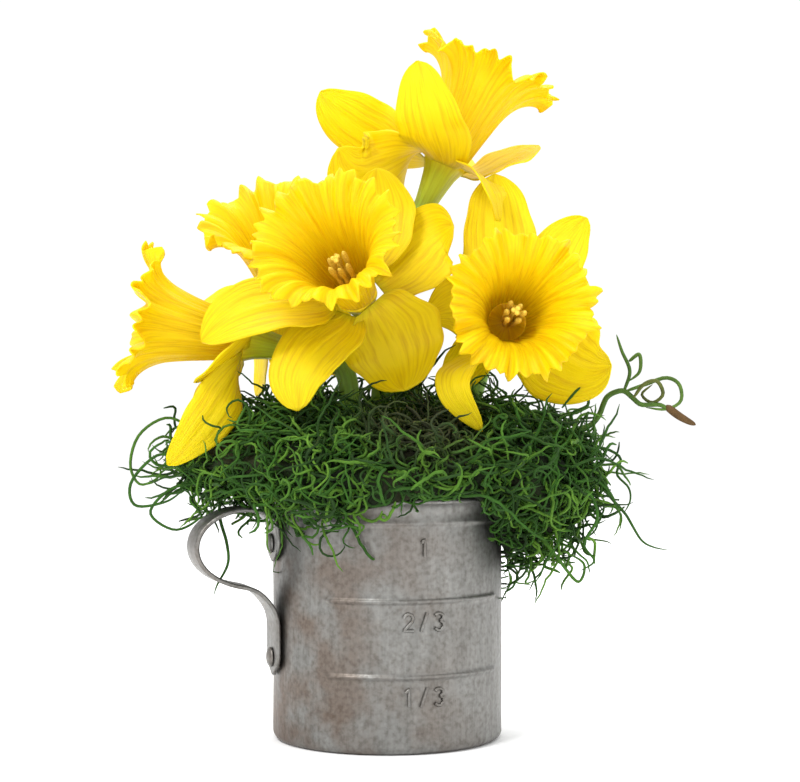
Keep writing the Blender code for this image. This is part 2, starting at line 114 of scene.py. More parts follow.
def sheet_mesh(name, rows, closed=False):
    """A mesh through rows of points, with a UV map: U across a row, V from row to row."""
    across = len(rows[0])
    spots = [p for row in rows for p in row]
    faces = []
    uvs = []
    last = across if closed else across - 1
    for j in range(len(rows) - 1):
        for i in range(last):
            k = (i + 1) % across
            faces.append((j * across + i, j * across + k, (j + 1) * across + k, (j + 1) * across + i))
            u0, u1 = i / last, (i + 1) / last
            v0, v1 = j / (len(rows) - 1), (j + 1) / (len(rows) - 1)
            uvs += [(u0, v0), (u1, v0), (u1, v1), (u0, v1)]
    mesh = bpy.data.meshes.new(name)
    mesh.from_pydata(spots, [], faces)
    layer = mesh.uv_layers.new(name="growth")
    for loop, uv in zip(layer.data, uvs):
        loop.uv = uv
    mesh.shade_smooth()
    return mesh


def show(mesh, name, material):
    """Put a mesh in the scene as a piece with one material."""
    piece = bpy.data.objects.new(name, mesh)
    bpy.context.scene.collection.objects.link(piece)
    mesh.materials.clear()
    mesh.materials.append(material)
    return piece


def bake(piece):
    """Turn a piece with modifiers into the same piece with a plain mesh."""
    bpy.context.view_layer.update()
    graph = bpy.context.evaluated_depsgraph_get()
    mesh = bpy.data.meshes.new_from_object(piece.evaluated_get(graph))
    name = piece.name
    material = piece.data.materials[0] if piece.data.materials else None
    bpy.data.objects.remove(piece)
    fresh = bpy.data.objects.new(name, mesh)
    bpy.context.scene.collection.objects.link(fresh)
    if material and not mesh.materials:
        mesh.materials.append(material)
    mesh.shade_smooth()
    return fresh


def thicken(piece, thickness):
    """Give a sheet its thickness, half to each side, and bake it."""
    solid = piece.modifiers.new("thickness", "SOLIDIFY")
    solid.thickness = thickness
    solid.offset = 0
    return bake(piece)


def settle(piece, slot, *nodes):
    """Let a piece ride on the body and stand for its plain solids; its slot is not used."""
    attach(piece, "root")
    if nodes:
        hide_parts(*nodes)
    return piece


def merged(node):
    """The corners of a plain solid, merged, with the neighbours of each."""
    mesh = frame["nodes"][node].data
    index = {}
    spots = []
    links = []
    ids = []
    for vert in mesh.vertices:
        key = tuple(round(c * 1e6) for c in vert.co)
        if key not in index:
            index[key] = len(spots)
            spots.append(vert.co.copy())
            links.append(set())
        ids.append(index[key])
    for edge in mesh.edges:
        a, b = (ids[v] for v in edge.vertices)
        if a != b:
            links[a].add(b)
            links[b].add(a)
    return spots, links


def rings_from(node, start, reach):
    """Rings of corners along a long solid, walking from its end nearest a point."""
    spots, links = merged(node)
    first = min(range(len(spots)), key=lambda i: (spots[i] - start).length)
    ring = {i for i in range(len(spots)) if (spots[i] - spots[first]).length < reach}
    seen = set(ring)
    rings = []
    while ring:
        rings.append([spots[i] for i in ring])
        ring = {j for i in ring for j in links[i]} - seen
        seen |= ring
    return rings


def middle(points):
    """The mean of some points."""
    return sum(points, Vector()) / len(points)


def turns(count):
    """Evenly spaced angles, once round."""
    return [2 * math.pi * i / count for i in range(count)]


def any_turn(rng):
    """A random angle, to start a wave anywhere."""
    return rng.uniform(0, 6.3)


@contextmanager
def editing(mesh):
    """Open a mesh for editing, and write it back after."""
    body = bmesh.new()
    body.from_mesh(mesh)
    body.verts.ensure_lookup_table()
    yield body
    body.to_mesh(mesh)
    body.free()


def close_ends(piece):
    """Fill the open ends of a skin and turn its faces outwards."""
    with editing(piece.data) as skin:
        bmesh.ops.holes_fill(skin, edges=[e for e in skin.edges if e.is_boundary], sides=0)
        bmesh.ops.recalc_face_normals(skin, faces=skin.faces)
    piece.data.shade_smooth()
    return piece


def closed_skin(name, rows, material):
    """A closed piece through rings of points."""
    return close_ends(show(sheet_mesh(name, rows, closed=True), name, material))


def heading(line, i):
    """The direction of a line of points at one of them."""
    return (line[min(i + 1, len(line) - 1)] - line[max(i - 1, 0)]).normalized()


def new_curve(name, lines):
    """A curve object with a run of straight stretches for each line of points."""
    curve = bpy.data.curves.new(name, "CURVE")
    curve.dimensions = "3D"
    for line in lines:
        spline = curve.splines.new("POLY")
        spline.points.add(len(line) - 1)
        for corner, point in zip(spline.points, line):
            corner.co = (*point, 1)
    return bpy.data.objects.new(name, curve)


# %% [markdown]
# ## Camera, floor and light
# The cup stands on a pale floor.  The camera is level and a little above the cup's rim,
# with a long lens, as for a catalogue.  Big soft lamps keep the shadows light.

# %% Camera, floor and lamps
scene = bpy.context.scene
camera_data = bpy.data.cameras.new("camera")
camera_data.lens = 88.6
camera_data.sensor_width = 36
camera_data.clip_start = 0.01
camera = bpy.data.objects.new("camera", camera_data)
scene.collection.objects.link(camera)
camera.location = from_bouquet(3.8, -600, 105 - RIM_TOP / MM)
camera.rotation_euler = (math.pi / 2, 0, BOUQUET_TURN)
scene.camera = camera
scene.view_settings.view_transform = "Standard"


def lamp(name, spot, power, size):
    """A square soft lamp in the bouquet's frame, aimed at the flowers."""
    data = bpy.data.lights.new(name, "AREA")
    data.energy = power
    data.size = size
    item = bpy.data.objects.new(name, data)
    scene.collection.objects.link(item)
    item.location = TURN @ Vector(spot)
    aim = Vector((0, 0, 0.11)) - item.location
    item.rotation_euler = aim.to_track_quat("-Z", "Y").to_euler()


lamp("key_lamp", (-0.5, -0.7, 0.95), 9, 0.35)
lamp("fill_lamp", (0.8, -0.6, 0.45), 2, 0.7)
lamp("top_lamp", (0.1, 0.3, 1.0), 7, 0.6)

world = bpy.data.worlds.new("studio")
scene.world = world
world.use_nodes = True
sky = world.node_tree.nodes["Background"].inputs
sky["Color"].default_value = (1, 1, 1, 1)
sky["Strength"].default_value = 1.04

floor_mesh = bpy.data.meshes.new("floor")
EXTENT = 6.0
floor_mesh.from_pydata([(-EXTENT, -EXTENT, 0), (EXTENT, -EXTENT, 0), (EXTENT, EXTENT, 0),
                        (-EXTENT, EXTENT, 0)], [], [(0, 1, 2, 3)])
floor_finish = bpy.data.materials.new("floor_paper")
floor_finish.use_nodes = True
paper = floor_finish.node_tree.nodes["Principled BSDF"].inputs
paper["Base Color"].default_value = (0.99, 0.99, 0.99, 1)
paper["Roughness"].default_value = 0.9
paper["Specular IOR Level"].default_value = 0.0
floor = show(floor_mesh, "floor", floor_finish)
print("camera at", [round(v, 3) for v in camera.location])


# %% [markdown]
# ## Finishes
# Each finish is a small graph of nodes.  Two effects are used by several finishes, so each
# is a group: fine lines that run the way a petal grows, and the stains of old metal.

# %% Helpers that wire nodes
def wire(tree, source, target):
    tree.links.new(source, target)


def node(tree, kind, inputs=None, **properties):
    """Add a node, set its properties, and give its inputs a value or a wire."""
    made = tree.nodes.new(kind)
    for key, value in properties.items():
        setattr(made, key, value)
    for key, value in (inputs or {}).items():
        if isinstance(value, bpy.types.NodeSocket):
            wire(tree, value, made.inputs[key])
        else:
            made.inputs[key].default_value = value
    return made


def noise(tree, vector, scale, detail=4, stretch=None):
    """A noise pattern, stretched along an axis if asked."""
    if stretch:
        vector = node(tree, "ShaderNodeMapping", {"Scale": stretch, "Vector": vector}).outputs["Vector"]
    return node(tree, "ShaderNodeTexNoise",
                {"Scale": scale, "Detail": detail, "Vector": vector}).outputs["Fac"]


def object_place(tree):
    """The place of a point on the piece."""
    return node(tree, "ShaderNodeTexCoord").outputs["Object"]


def ramp(tree, value, *stops):
    """Colours along a value from 0 to 1."""
    made = node(tree, "ShaderNodeValToRGB", {"Fac": value})
    band = made.color_ramp
    while len(band.elements) < len(stops):
        band.elements.new(0.5)
    for element, (place, colour) in zip(band.elements, stops):
        element.position = place
        element.color = (*colour, 1)
    return made.outputs["Color"]


def blend_colours(tree, factor, a, b, mode="MIX"):
    """Mix two colours; the factor is a number or a socket."""
    a, b = ((*colour, 1) if isinstance(colour, tuple) else colour for colour in (a, b))
    inputs = {0: factor, 6: a, 7: b}
    return node(tree, "ShaderNodeMix", inputs, data_type="RGBA", blend_type=mode).outputs[2]


def finish_for(name, roughness=0.5, metallic=0.0):
    """A new material with its tree and its Principled shader."""
    made = bpy.data.materials.new(name)
    made.use_nodes = True
    shader = made.node_tree.nodes["Principled BSDF"]
    shader.inputs["Roughness"].default_value = roughness
    shader.inputs["Metallic"].default_value = metallic
    return made, made.node_tree, shader


def bump(tree, shader, height, strength, distance):
    """Press a height pattern into a shader's normal."""
    made = node(tree, "ShaderNodeBump", {"Strength": strength, "Distance": distance, "Height": height})
    wire(tree, made.outputs["Normal"], shader.inputs["Normal"])


def group_named(name, inputs, outputs):
    """An empty shader node group with its sockets."""
    tree = bpy.data.node_groups.new(name, "ShaderNodeTree")
    for label, kind, value in inputs:
        socket = tree.interface.new_socket(label, in_out="INPUT", socket_type=kind)
        if value is not None:
            socket.default_value = value
    for label, kind in outputs:
        tree.interface.new_socket(label, in_out="OUTPUT", socket_type=kind)
    return tree, tree.nodes.new("NodeGroupInput"), tree.nodes.new("NodeGroupOutput")


# %% The growth-line group: fine veins along V of the growth map
veins, veins_in, veins_out = group_named(
    "growth_lines",
    [("Lines", "NodeSocketFloat", 60.0), ("Map", "NodeSocketVector", None)],
    [("Veins", "NodeSocketFloat"), ("Cells", "NodeSocketFloat")])
spread = node(veins, "ShaderNodeCombineXYZ", {"X": veins_in.outputs["Lines"], "Y": 2.5})
scaled = node(veins, "ShaderNodeVectorMath", {0: veins_in.outputs["Map"], 1: spread.outputs["Vector"]},
              operation="MULTIPLY")
wire(veins, noise(veins, scaled.outputs["Vector"], 1.0, 3), veins_out.inputs["Veins"])
wire(veins, noise(veins, scaled.outputs["Vector"], 6.0, 2), veins_out.inputs["Cells"])


def add_veins(tree, lines):
    """Veins and cells on a piece's growth map, and the share of the way along it."""
    growth = node(tree, "ShaderNodeUVMap", uv_map="growth").outputs["UV"]
    made = node(tree, "ShaderNodeGroup", {"Lines": lines, "Map": growth}, node_tree=veins)
    split = node(tree, "ShaderNodeSeparateXYZ", {"Vector": growth})
    return made.outputs["Veins"], made.outputs["Cells"], split.outputs["Y"]


# %% Petal, trumpet and tube finishes
def petal_finish(name, stops, lines, roughness=0.48):
    """Thin plant tissue: a colour along its length, veins across it, light passing through."""
    made, tree, shader = finish_for(name, roughness)
    vein, cells, along = add_veins(tree, lines)
    base = ramp(tree, along, *stops)
    streaks = ramp(tree, vein, (0.32, (0.78, 0.66, 0.5)), (0.56, (1, 1, 1)))
    wire(tree, blend_colours(tree, 0.9, base, streaks, "MULTIPLY"), shader.inputs["Base Color"])
    shader.inputs["Subsurface Weight"].default_value = 0.35
    shader.inputs["Subsurface Radius"].default_value = (1.0, 0.75, 0.1)
    shader.inputs["Subsurface Scale"].default_value = 0.004
    shader.inputs["Specular IOR Level"].default_value = 0.18
    bump(tree, shader, blend_colours(tree, 0.35, vein, cells), 0.8, 0.0005)
    return made


PETAL = petal_finish("petal_tissue", [(0.0, (0.50, 0.44, 0.004)), (0.14, (0.70, 0.50, 0.001)),
                                      (0.6, (0.80, 0.57, 0.001)), (1.0, (0.84, 0.62, 0.003))], 26)
TRUMPET = petal_finish("trumpet_tissue", [(0.0, (0.72, 0.46, 0.002)), (0.2, (0.80, 0.52, 0.001)),
                                          (0.75, (0.80, 0.53, 0.001)), (1.0, (0.84, 0.54, 0.001))], 150)
TUBE = petal_finish("tube_tissue", [(0.0, (0.85, 0.56, 0.002)), (0.1, (0.74, 0.62, 0.01)),
                                    (0.3, (0.50, 0.56, 0.02)), (0.6, (0.28, 0.42, 0.05)),
                                    (1.0, (0.16, 0.32, 0.04))], 36, 0.4)
STEM = petal_finish("stem_skin", [(0.0, (0.10, 0.22, 0.03)), (0.6, (0.16, 0.33, 0.04)),
                                  (1.0, (0.22, 0.38, 0.06))], 20, 0.35)


def grainy_finish(name, roughness, fineness, detail, dark, light, depth):
    """A dull finish with a fine grain of two colours; each of dark and light is a ramp stop."""
    made, tree, shader = finish_for(name, roughness)
    grain = noise(tree, object_place(tree), fineness, detail)
    wire(tree, ramp(tree, grain, dark, light), shader.inputs["Base Color"])
    bump(tree, shader, grain, *depth)
    return made


POLLEN = grainy_finish("pollen", 0.85, 2500, 3, (0.3, (0.62, 0.42, 0.03)), (0.7, (0.95, 0.74, 0.12)),
                       (0.8, 0.0003))
FOAM = grainy_finish("floral_foam", 0.95, 1800, 4, (0.35, (0.02, 0.06, 0.02)), (0.7, (0.06, 0.15, 0.06)),
                     (0.9, 0.0004))


# %% Moss finish, driven by a tone kept on every strand
FRONT_BLOOM_SHADOW_SPOT = (10, -26, 24)              # centre of a painted shadow under the front bloom's lowest petal, in the bouquet's frame


def moss_finish(name, dark, light, tip):
    """Dyed moss: each strand has its own tone, mottled along its length, with a painted shadow round a spot
    under the front bloom.
    """
    made, tree, shader = finish_for(name, 0.75)
    where = object_place(tree)
    tone = node(tree, "ShaderNodeAttribute", attribute_name="tone")
    base = ramp(tree, tone.outputs["Fac"], (0.0, dark), (0.6, light), (1.0, tip))
    mottle = noise(tree, where, 260, 4)
    shade = ramp(tree, mottle, (0.3, (0.45, 0.5, 0.4)), (0.65, (1.1, 1.1, 1.0)))
    greens = blend_colours(tree, 0.8, base, shade, "MULTIPLY")
    # Painted shadow: round a spot under the front bloom the moss is blended towards a near-black brown, up to
    # 0.8 within 12 mm and fading out by 24 mm.
    away = node(tree, "ShaderNodeVectorMath", {0: where, 1: from_bouquet(*FRONT_BLOOM_SHADOW_SPOT)},
                operation="DISTANCE")
    painted_shadow = node(tree, "ShaderNodeMapRange", {"Value": away.outputs["Value"], "From Min": 24 * MM,
                                            "From Max": 12 * MM, "To Max": 0.8})
    wire(tree, blend_colours(tree, painted_shadow.outputs["Result"], greens, (0.026, 0.024, 0.011)),
         shader.inputs["Base Color"])
    shader.inputs["Specular IOR Level"].default_value = 0.25
    bump(tree, shader, noise(tree, where, 1400, 3), 0.6, 0.0003)
    return made


MOSS = moss_finish("curly_moss", (0.010, 0.034, 0.003), (0.030, 0.105, 0.008), (0.10, 0.22, 0.02))
HEART = moss_finish("moss_heart", (0.006, 0.012, 0.003), (0.014, 0.026, 0.006), (0.022, 0.024, 0.008))
SPRIG = moss_finish("dried_sprig", (0.03, 0.09, 0.012), (0.10, 0.18, 0.03), (0.10, 0.055, 0.02))

# %% The aged-metal group: streaks, stains and pits that the cup and its handle share
aged, aged_in, aged_out = group_named(
    "aged_aluminium",
    [("Brown", "NodeSocketFloat", 0.5), ("Where", "NodeSocketVector", None)],
    [("Color", "NodeSocketColor"), ("Roughness", "NodeSocketFloat"), ("Height", "NodeSocketFloat")])
spot = aged_in.outputs["Where"]
streak = noise(aged, spot, 60, 8, (7, 7, 0.8))
cloud = noise(aged, spot, 70, 10)
pits = noise(aged, spot, 700, 5)
scratches = noise(aged, spot, 220, 3, (9, 9, 0.5))
metal = ramp(aged, streak, (0.2, (0.175, 0.172, 0.162)), (0.5, (0.222, 0.22, 0.209)),
             (0.8, (0.265, 0.262, 0.25)))
stain = node(aged, "ShaderNodeMath", {0: ramp(aged, cloud, (0.42, (0, 0, 0)), (0.62, (1, 1, 1))),
                                      1: aged_in.outputs["Brown"]}, operation="MULTIPLY")
stained = blend_colours(aged, stain.outputs[0], metal, (0.155, 0.122, 0.10))
specks = ramp(aged, pits, (0.3, (0.72, 0.7, 0.68)), (0.55, (1, 1, 1)), (0.75, (1.12, 1.12, 1.12)))
wire(aged, blend_colours(aged, 1.0, stained, specks, "MULTIPLY"), aged_out.inputs["Color"])
wire(aged, ramp(aged, scratches, (0.2, (0.36, 0.36, 0.36)), (0.8, (0.6, 0.6, 0.6))),
     aged_out.inputs["Roughness"])
wire(aged, blend_colours(aged, 0.5, scratches, pits), aged_out.inputs["Height"])


def metal_finish(name, brown):
    """Old aluminium; the brown stain grows towards the handle's side and the base."""
    made, tree, shader = finish_for(name, 0.5, 1.0)
    where = object_place(tree)
    split = node(tree, "ShaderNodeSeparateXYZ", {"Vector": where})
    side = node(tree, "ShaderNodeMapRange",
                {"Value": split.outputs["X"], "From Min": RIM_RADIUS, "From Max": -RIM_RADIUS,
                 "To Min": -brown * 0.3, "To Max": brown})
    low = node(tree, "ShaderNodeMapRange",
               {"Value": split.outputs["Z"], "From Min": 0.0, "From Max": RIM_TOP * 0.3,
                "To Min": 0.3, "To Max": 0.0})
    both = node(tree, "ShaderNodeMath", {0: side.outputs["Result"], 1: low.outputs["Result"]},
                operation="ADD", use_clamp=True)
    old = node(tree, "ShaderNodeGroup", {"Brown": both.outputs[0], "Where": where}, node_tree=aged).outputs
    wire(tree, old["Color"], shader.inputs["Base Color"])
    wire(tree, old["Roughness"], shader.inputs["Roughness"])
    bump(tree, shader, old["Height"], 0.25, 0.00025)
    return made


CUP_METAL = metal_finish("cup_aluminium", 1.0)
HANDLE_METAL = metal_finish("handle_aluminium", 0.35)
RIVET_METAL = metal_finish("rivet_aluminium", 0.9)


# %% Give the floral foam its finish
foam_node = frame["nodes"]["foam_block"]
foam_node.data.materials.clear()
foam_node.data.materials.append(FOAM)
print(len(bpy.data.materials), "finishes")

# %% [markdown]
# ## The cup
# The real cup is spun from sheet aluminium: a flat base with a small round corner, a
# straight wall, a slightly wider band under the rim, and a rolled rim.  Its part lines and
# numerals are pressed out from inside.  A profile turned about Z gives the wall, and the
# lines are pressed into it by moving points, so they stay one skin with it.

# %% Turn the cup's wall and press out its lines
WALL = 0.7 * MM
BEAD = 0.9 * MM
BAND_STEP = 0.5 * MM
BAND_FOOT = RIM_TOP - 8 * MM
CORNER = 2.5 * MM
WALL_RADIUS = RIM_RADIUS + WALL - 2 * BEAD - BAND_STEP
LINE_HEIGHTS = (22.5 * MM, 44.3 * MM)
LINE_RISE = 0.8 * MM
LINE_SPREAD = 0.6 * MM                 # half the width of a pressed line
LINE_HALF_ANGLE = 50                   # degrees each way from the -Y side
CUP_STEPS = 240
AXIS_GAP = 0.0001                      # how far a turned profile stops short of its axis


def arc(cx, cz, radius, start, end, steps):
    """Points (r, z) on an arc, in degrees from the outward direction."""
    angles = [math.radians(start + (end - start) * i / steps) for i in range(steps + 1)]
    return [(cx + radius * math.cos(a), cz + radius * math.sin(a)) for a in angles]


def cup_outline():
    """The cup's section from its inside floor over the rim to the middle of its base."""
    bore = WALL_RADIUS - WALL
    line = [(AXIS_GAP, WALL), (bore * 0.5, WALL)]
    line += arc(bore - CORNER + WALL, CORNER, CORNER - WALL, -90, 0, 6)
    line += [(bore, BAND_FOOT), (bore + BAND_STEP, BAND_FOOT + 1 * MM)]
    line += arc(RIM_RADIUS - BEAD, RIM_TOP - BEAD, BEAD, 165, -105, 14)
    band = WALL_RADIUS + BAND_STEP
    line += [(band, BAND_FOOT + 3 * MM), (band, BAND_FOOT + 1.4 * MM),
             (band + 0.25 * MM, BAND_FOOT + 0.9 * MM), (band, BAND_FOOT + 0.4 * MM),
             (WALL_RADIUS, BAND_FOOT - 0.2 * MM)]
    steps = 150
    top = BAND_FOOT - 0.6 * MM
    line += [(WALL_RADIUS, top + (CORNER - top) * i / steps) for i in range(steps)]
    line += arc(WALL_RADIUS - CORNER, CORNER, CORNER, 0, -90, 8)
    line += [(WALL_RADIUS * 0.75, 0.0), (WALL_RADIUS * 0.72, 0.35 * MM), (AXIS_GAP, 0.35 * MM)]
    return line


def press(angle, z):
    """How far the wall is pressed out at a place: the two part lines and faint dents."""
    away = abs((math.degrees(angle) + 90 + 180) % 360 - 180)
    fade = max(0.0, min(1.0, (LINE_HALF_ANGLE - away) / 4))
    lines = sum(math.exp(-((z - h) / LINE_SPREAD) ** 2) for h in LINE_HEIGHTS)
    dents = 0.12 * MM * math.sin(3 * angle + 40 * z) * math.sin(2.1 * angle + 1.3 + 55 * z)
    return LINE_RISE * fade * lines + dents


def make_cup():
    """The whole cup as one closed skin."""
    rows = []
    for radius, z in cup_outline():
        row = []
        for angle in turns(CUP_STEPS):
            out = press(angle, z) if abs(radius - WALL_RADIUS) < 0.01 * MM else 0.0
            row.append(Vector(((radius + out) * math.cos(angle), (radius + out) * math.sin(angle), z)))
        rows.append(row)
    mesh = sheet_mesh("measuring_cup", rows, closed=True)
    return show(mesh, "measuring_cup", CUP_METAL)


cup = make_cup()
print("cup wall", len(cup.data.polygons), "faces")


# %% [markdown]
# The ends of that profile stop just short of the axis, so the two pinholes are closed with
# a cap each, and the skin's faces are turned outwards.

# %% Close the poles and turn the faces outwards
close_ends(cup)
settle(cup, "cup_metal", "cup_shell")


# %% [markdown]
# Generic numerals stand where such a cup has its marks.  A pressed stroke has a round
# back, so each stroke is a round rod, bent to the wall and half sunk in it.

# %% Press the numerals into the wall
STROKE_RADIUS = WALL_RADIUS + 0.32 * MM
STROKES = {
    "1": [[(-0.16, 0.8), (0.03, 1.0), (0.03, 0.0)]],
    "2": [[(-0.28, 0.74), (-0.2, 0.92), (0.0, 1.0), (0.2, 0.92), (0.28, 0.74), (0.2, 0.52), (-0.04, 0.28),
           (-0.28, 0.0), (0.3, 0.0)]],
    "3": [[(-0.26, 0.86), (-0.12, 0.98), (0.08, 0.99), (0.25, 0.86), (0.24, 0.66), (0.05, 0.54)],
          [(0.05, 0.54), (0.27, 0.42), (0.29, 0.18), (0.12, 0.01), (-0.1, 0.0), (-0.28, 0.14)]],
    "/": [[(-0.2, -0.06), (0.2, 1.06)]]}


def press_numeral(name, text, z, size):
    """Raised figures on the wall, centred on the -Y side, with their feet at a height."""
    lines = []
    for place, figure in enumerate(text):
        shift = (place - (len(text) - 1) / 2) * 0.95
        for stroke in STROKES[figure]:
            line = [Vector((x + shift, y, 0)) * size for x, y in stroke]
            dense = [a.lerp(b, k / 4) for a, b in zip(line, line[1:]) for k in range(4)] + [line[-1]]
            lines.append([Vector((STROKE_RADIUS * math.sin(p.x / WALL_RADIUS),
                                  -STROKE_RADIUS * math.cos(p.x / WALL_RADIUS), z + p.y)) for p in dense])
    item = new_curve(name, lines)
    item.data.bevel_depth = 0.5 * MM
    item.data.bevel_resolution = 3
    item.data.use_fill_caps = True
    item.data.materials.append(CUP_METAL)
    scene.collection.objects.link(item)
    return settle(bake(item), "cup_metal")


for label, text, height in (("numeral_one", "1", 57.3), ("numeral_two_thirds", "2/3", 36.0),
                            ("numeral_one_third", "1/3", 14.3)):
    press_numeral(label, text, height * MM, 4.9 * MM)

# %% [markdown]
# ## The handle and its rivets
# The handle is one strap of sheet, bent and riveted on.  The middle line of its plain solid
# is found from the corners at one edge, and a fuller section with rounded edges is swept
# along it.

# %% Find the strap's middle line and sweep a rounded section along it
strap_low, strap_high = (Vector(corner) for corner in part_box("cup_handle"))
STRAP_HALF = (strap_high.y - strap_low.y) / 2
STRAP_THICK = 1.3 * MM
UPPER_TAB_FOOT = 54 * MM


def strap_middle():
    """Middle points of the strap in the XZ plane, from its lower tab to its upper one."""
    mesh = frame["nodes"]["cup_handle"].data
    mids = []
    for face in mesh.polygons:
        corners = [mesh.vertices[i].co for i in face.vertices]
        if min(c.y for c in corners) > STRAP_HALF - 0.05 * MM:
            # the longest edge of a side face crosses the strap from skin to skin
            a, b = max(zip(corners, corners[1:] + corners[:1]), key=lambda e: (e[0] - e[1]).length)
            mid = Vector(((a.x + b.x) / 2, 0, (a.z + b.z) / 2))
            if all((mid - m).length > 0.3 * MM for m in mids):
                mids.append(mid)
    chain = [min(mids, key=lambda m: m.z)]
    rest = [m for m in mids if m is not chain[0]]
    while rest:
        following = min(rest, key=lambda m: (m - chain[-1]).length)
        chain.append(following)
        rest.remove(following)
    return chain


def sweep_strap():
    """The strap with rounded long edges and half-round ends."""
    chain = strap_middle()
    print("strap middle line from", len(chain), "points")
    low_end = Vector((chain[0].x, 0, strap_low.z))
    high_end = Vector((chain[-1].x, 0, UPPER_TAB_FOOT))
    path = smooth_chain([low_end, *chain, high_end], 120)
    lengths = [0.0]
    for a, b in zip(path, path[1:]):
        lengths.append(lengths[-1] + (b - a).length)
    total = lengths[-1]
    rows = []
    round_edge = STRAP_THICK / 2
    for i, point in enumerate(path):
        along = heading(path, i)
        out = Vector((along.z, 0, -along.x))
        near = min(lengths[i], total - lengths[i])
        share = min(1.0, near / STRAP_HALF)
        half = STRAP_HALF * math.sqrt(max(0.0004, 1 - (1 - share) ** 2))
        straight = max(half - round_edge, 0.0)
        roundness = min(1, half / round_edge)
        row = []
        for side in (1, -1):
            for k in range(9):
                a = math.pi / 2 - math.pi * k / 8
                y = side * (straight + round_edge * math.cos(a) * roundness)
                row.append(point + Vector((0, y, 0)) + out * (side * round_edge * math.sin(a)))
        rows.append(row)
    return closed_skin("strap_handle", rows, HANDLE_METAL)


settle(sweep_strap(), "handle_metal", "cup_handle")


# %% Turn the rivets' heads and shanks
RIVET_DOME = 1.3 * MM
RIVET_SHANK = 1.4 * MM
RIVET_TAIL = 0.7 * MM


def turn_rivet(node_name, piece_name):
    """A rivet along X: a low dome outside, a shank and a flat tail inside."""
    low, high = (Vector(corner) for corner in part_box(node_name))
    centre_z = (low.z + high.z) / 2
    head = (high.z - low.z) / 2
    tail = high.x - RIVET_TAIL
    outline = [(AXIS_GAP, low.x)] + [(head * math.sin(a), low.x + RIVET_DOME * (1 - math.cos(a)))
                                     for a in (0.2, 0.45, 0.7, 0.95, 1.2, 1.4, math.pi / 2)]
    outline += [(RIVET_SHANK, low.x + RIVET_DOME), (RIVET_SHANK, tail), (2.7 * MM, tail),
                (2.8 * MM, high.x - 0.2 * MM), (2.4 * MM, high.x), (AXIS_GAP, high.x)]
    rows = [[Vector((x, r * math.cos(t), centre_z + r * math.sin(t))) for t in turns(32)] for r, x in outline]
    return settle(closed_skin(piece_name, rows, RIVET_METAL), "rivet_metal", node_name)


turn_rivet("rivet_upper", "upper_rivet_head")
turn_rivet("rivet_lower", "lower_rivet_head")


# %% [markdown]
# ## Measuring the blooms
# Each bloom's axis runs along its floral tube, which is the longest thing about it.  The
# direction of greatest spread of the tube's corners is that axis, and the trumpet tells
# which way it points.

# %% Find each bloom's centre, axis and sizes
def spread_axis(points):
    """The direction in which points spread most, by repeated multiplication."""
    centre = middle(points)
    axis = Vector((0.3, 0.4, 0.8))
    for _ in range(60):
        axis = sum(((p - centre).dot(axis) * (p - centre) for p in points), Vector()).normalized()
    return centre, axis


def measure_bloom(name):
    """Centre of the petal ring, facing, side vectors and the trumpet's size."""
    tube, _ = merged(f"{name}_tube")
    trumpet, _ = merged(f"{name}_trumpet")
    centre, axis = spread_axis(tube)
    if (middle(trumpet) - centre).dot(axis) < 0:
        axis = -axis
    front = max((p - centre).dot(axis) for p in tube)
    heart = centre + axis * (front + 0.3 * MM)
    side = axis.cross(Vector((0.2, 0.1, 1))).normalized()
    up = axis.cross(side)
    heights = [(p - heart).dot(axis) for p in trumpet]
    radii = [((p - heart) - (p - heart).dot(axis) * axis).length for p in trumpet]
    return {"heart": heart, "axis": axis, "side": side, "up": up, "length": max(heights),
            "mouth": max(radii), "base": min(radii) + 0.4 * MM,
            "back": min((p - heart).dot(axis) for p in tube)}


PLANS = {name: measure_bloom(name) for name in BLOOMS}
for name, plan in PLANS.items():
    print(name, "trumpet", round(plan["length"] * 1000, 1), "x", round(plan["mouth"] * 2000, 1), "mm")


def at(plan, radius, turn, height):
    """A point in a bloom's own round frame."""
    around = math.cos(turn) * plan["side"] + math.sin(turn) * plan["up"]
    return plan["heart"] + radius * around + height * plan["axis"]


# %% [markdown]
# ## Trumpets
# A trumpet grows as one pleated tube that flares late and ends in a deep, irregular frill.
# The wall opens by the same law as the plain solid.  On top of it come pleats, then waves
# that grow towards the lip, then teeth of uneven length.

# %% Make the five frilled trumpets
TRUMPET_START = 12                     # degrees that the wall opens at the base
TRUMPET_END = 92                       # degrees that it opens at the lip
TRUMPET_FLARE = 4                      # the higher, the later the wall turns outwards


def trumpet_law(steps):
    """Radius and height along the wall, from 0 to 1 each, with the wall's own angle."""
    radius, height = 0.0, 0.0
    line = [(0.0, 0.0, math.radians(TRUMPET_START))]
    for i in range(steps):
        share = (i + 0.5) / steps
        opening = math.radians(TRUMPET_START + (TRUMPET_END - TRUMPET_START) * share ** TRUMPET_FLARE)
        radius += math.sin(opening) / steps
        height += math.cos(opening) / steps
        line.append((radius, height, opening))
    full_r, full_h = line[-1][0], max(h for _, h, _ in line)
    return [(r / full_r, h / full_h, a) for r, h, a in line]


TEETH = 36
LOBES = ((5, 1.6), (9, 1.5), (14, 1.7), (21, 1.5), (33, 0.8))   # waves round the lip, depth in mm
TRUMPET_SKIN = 0.45 * MM


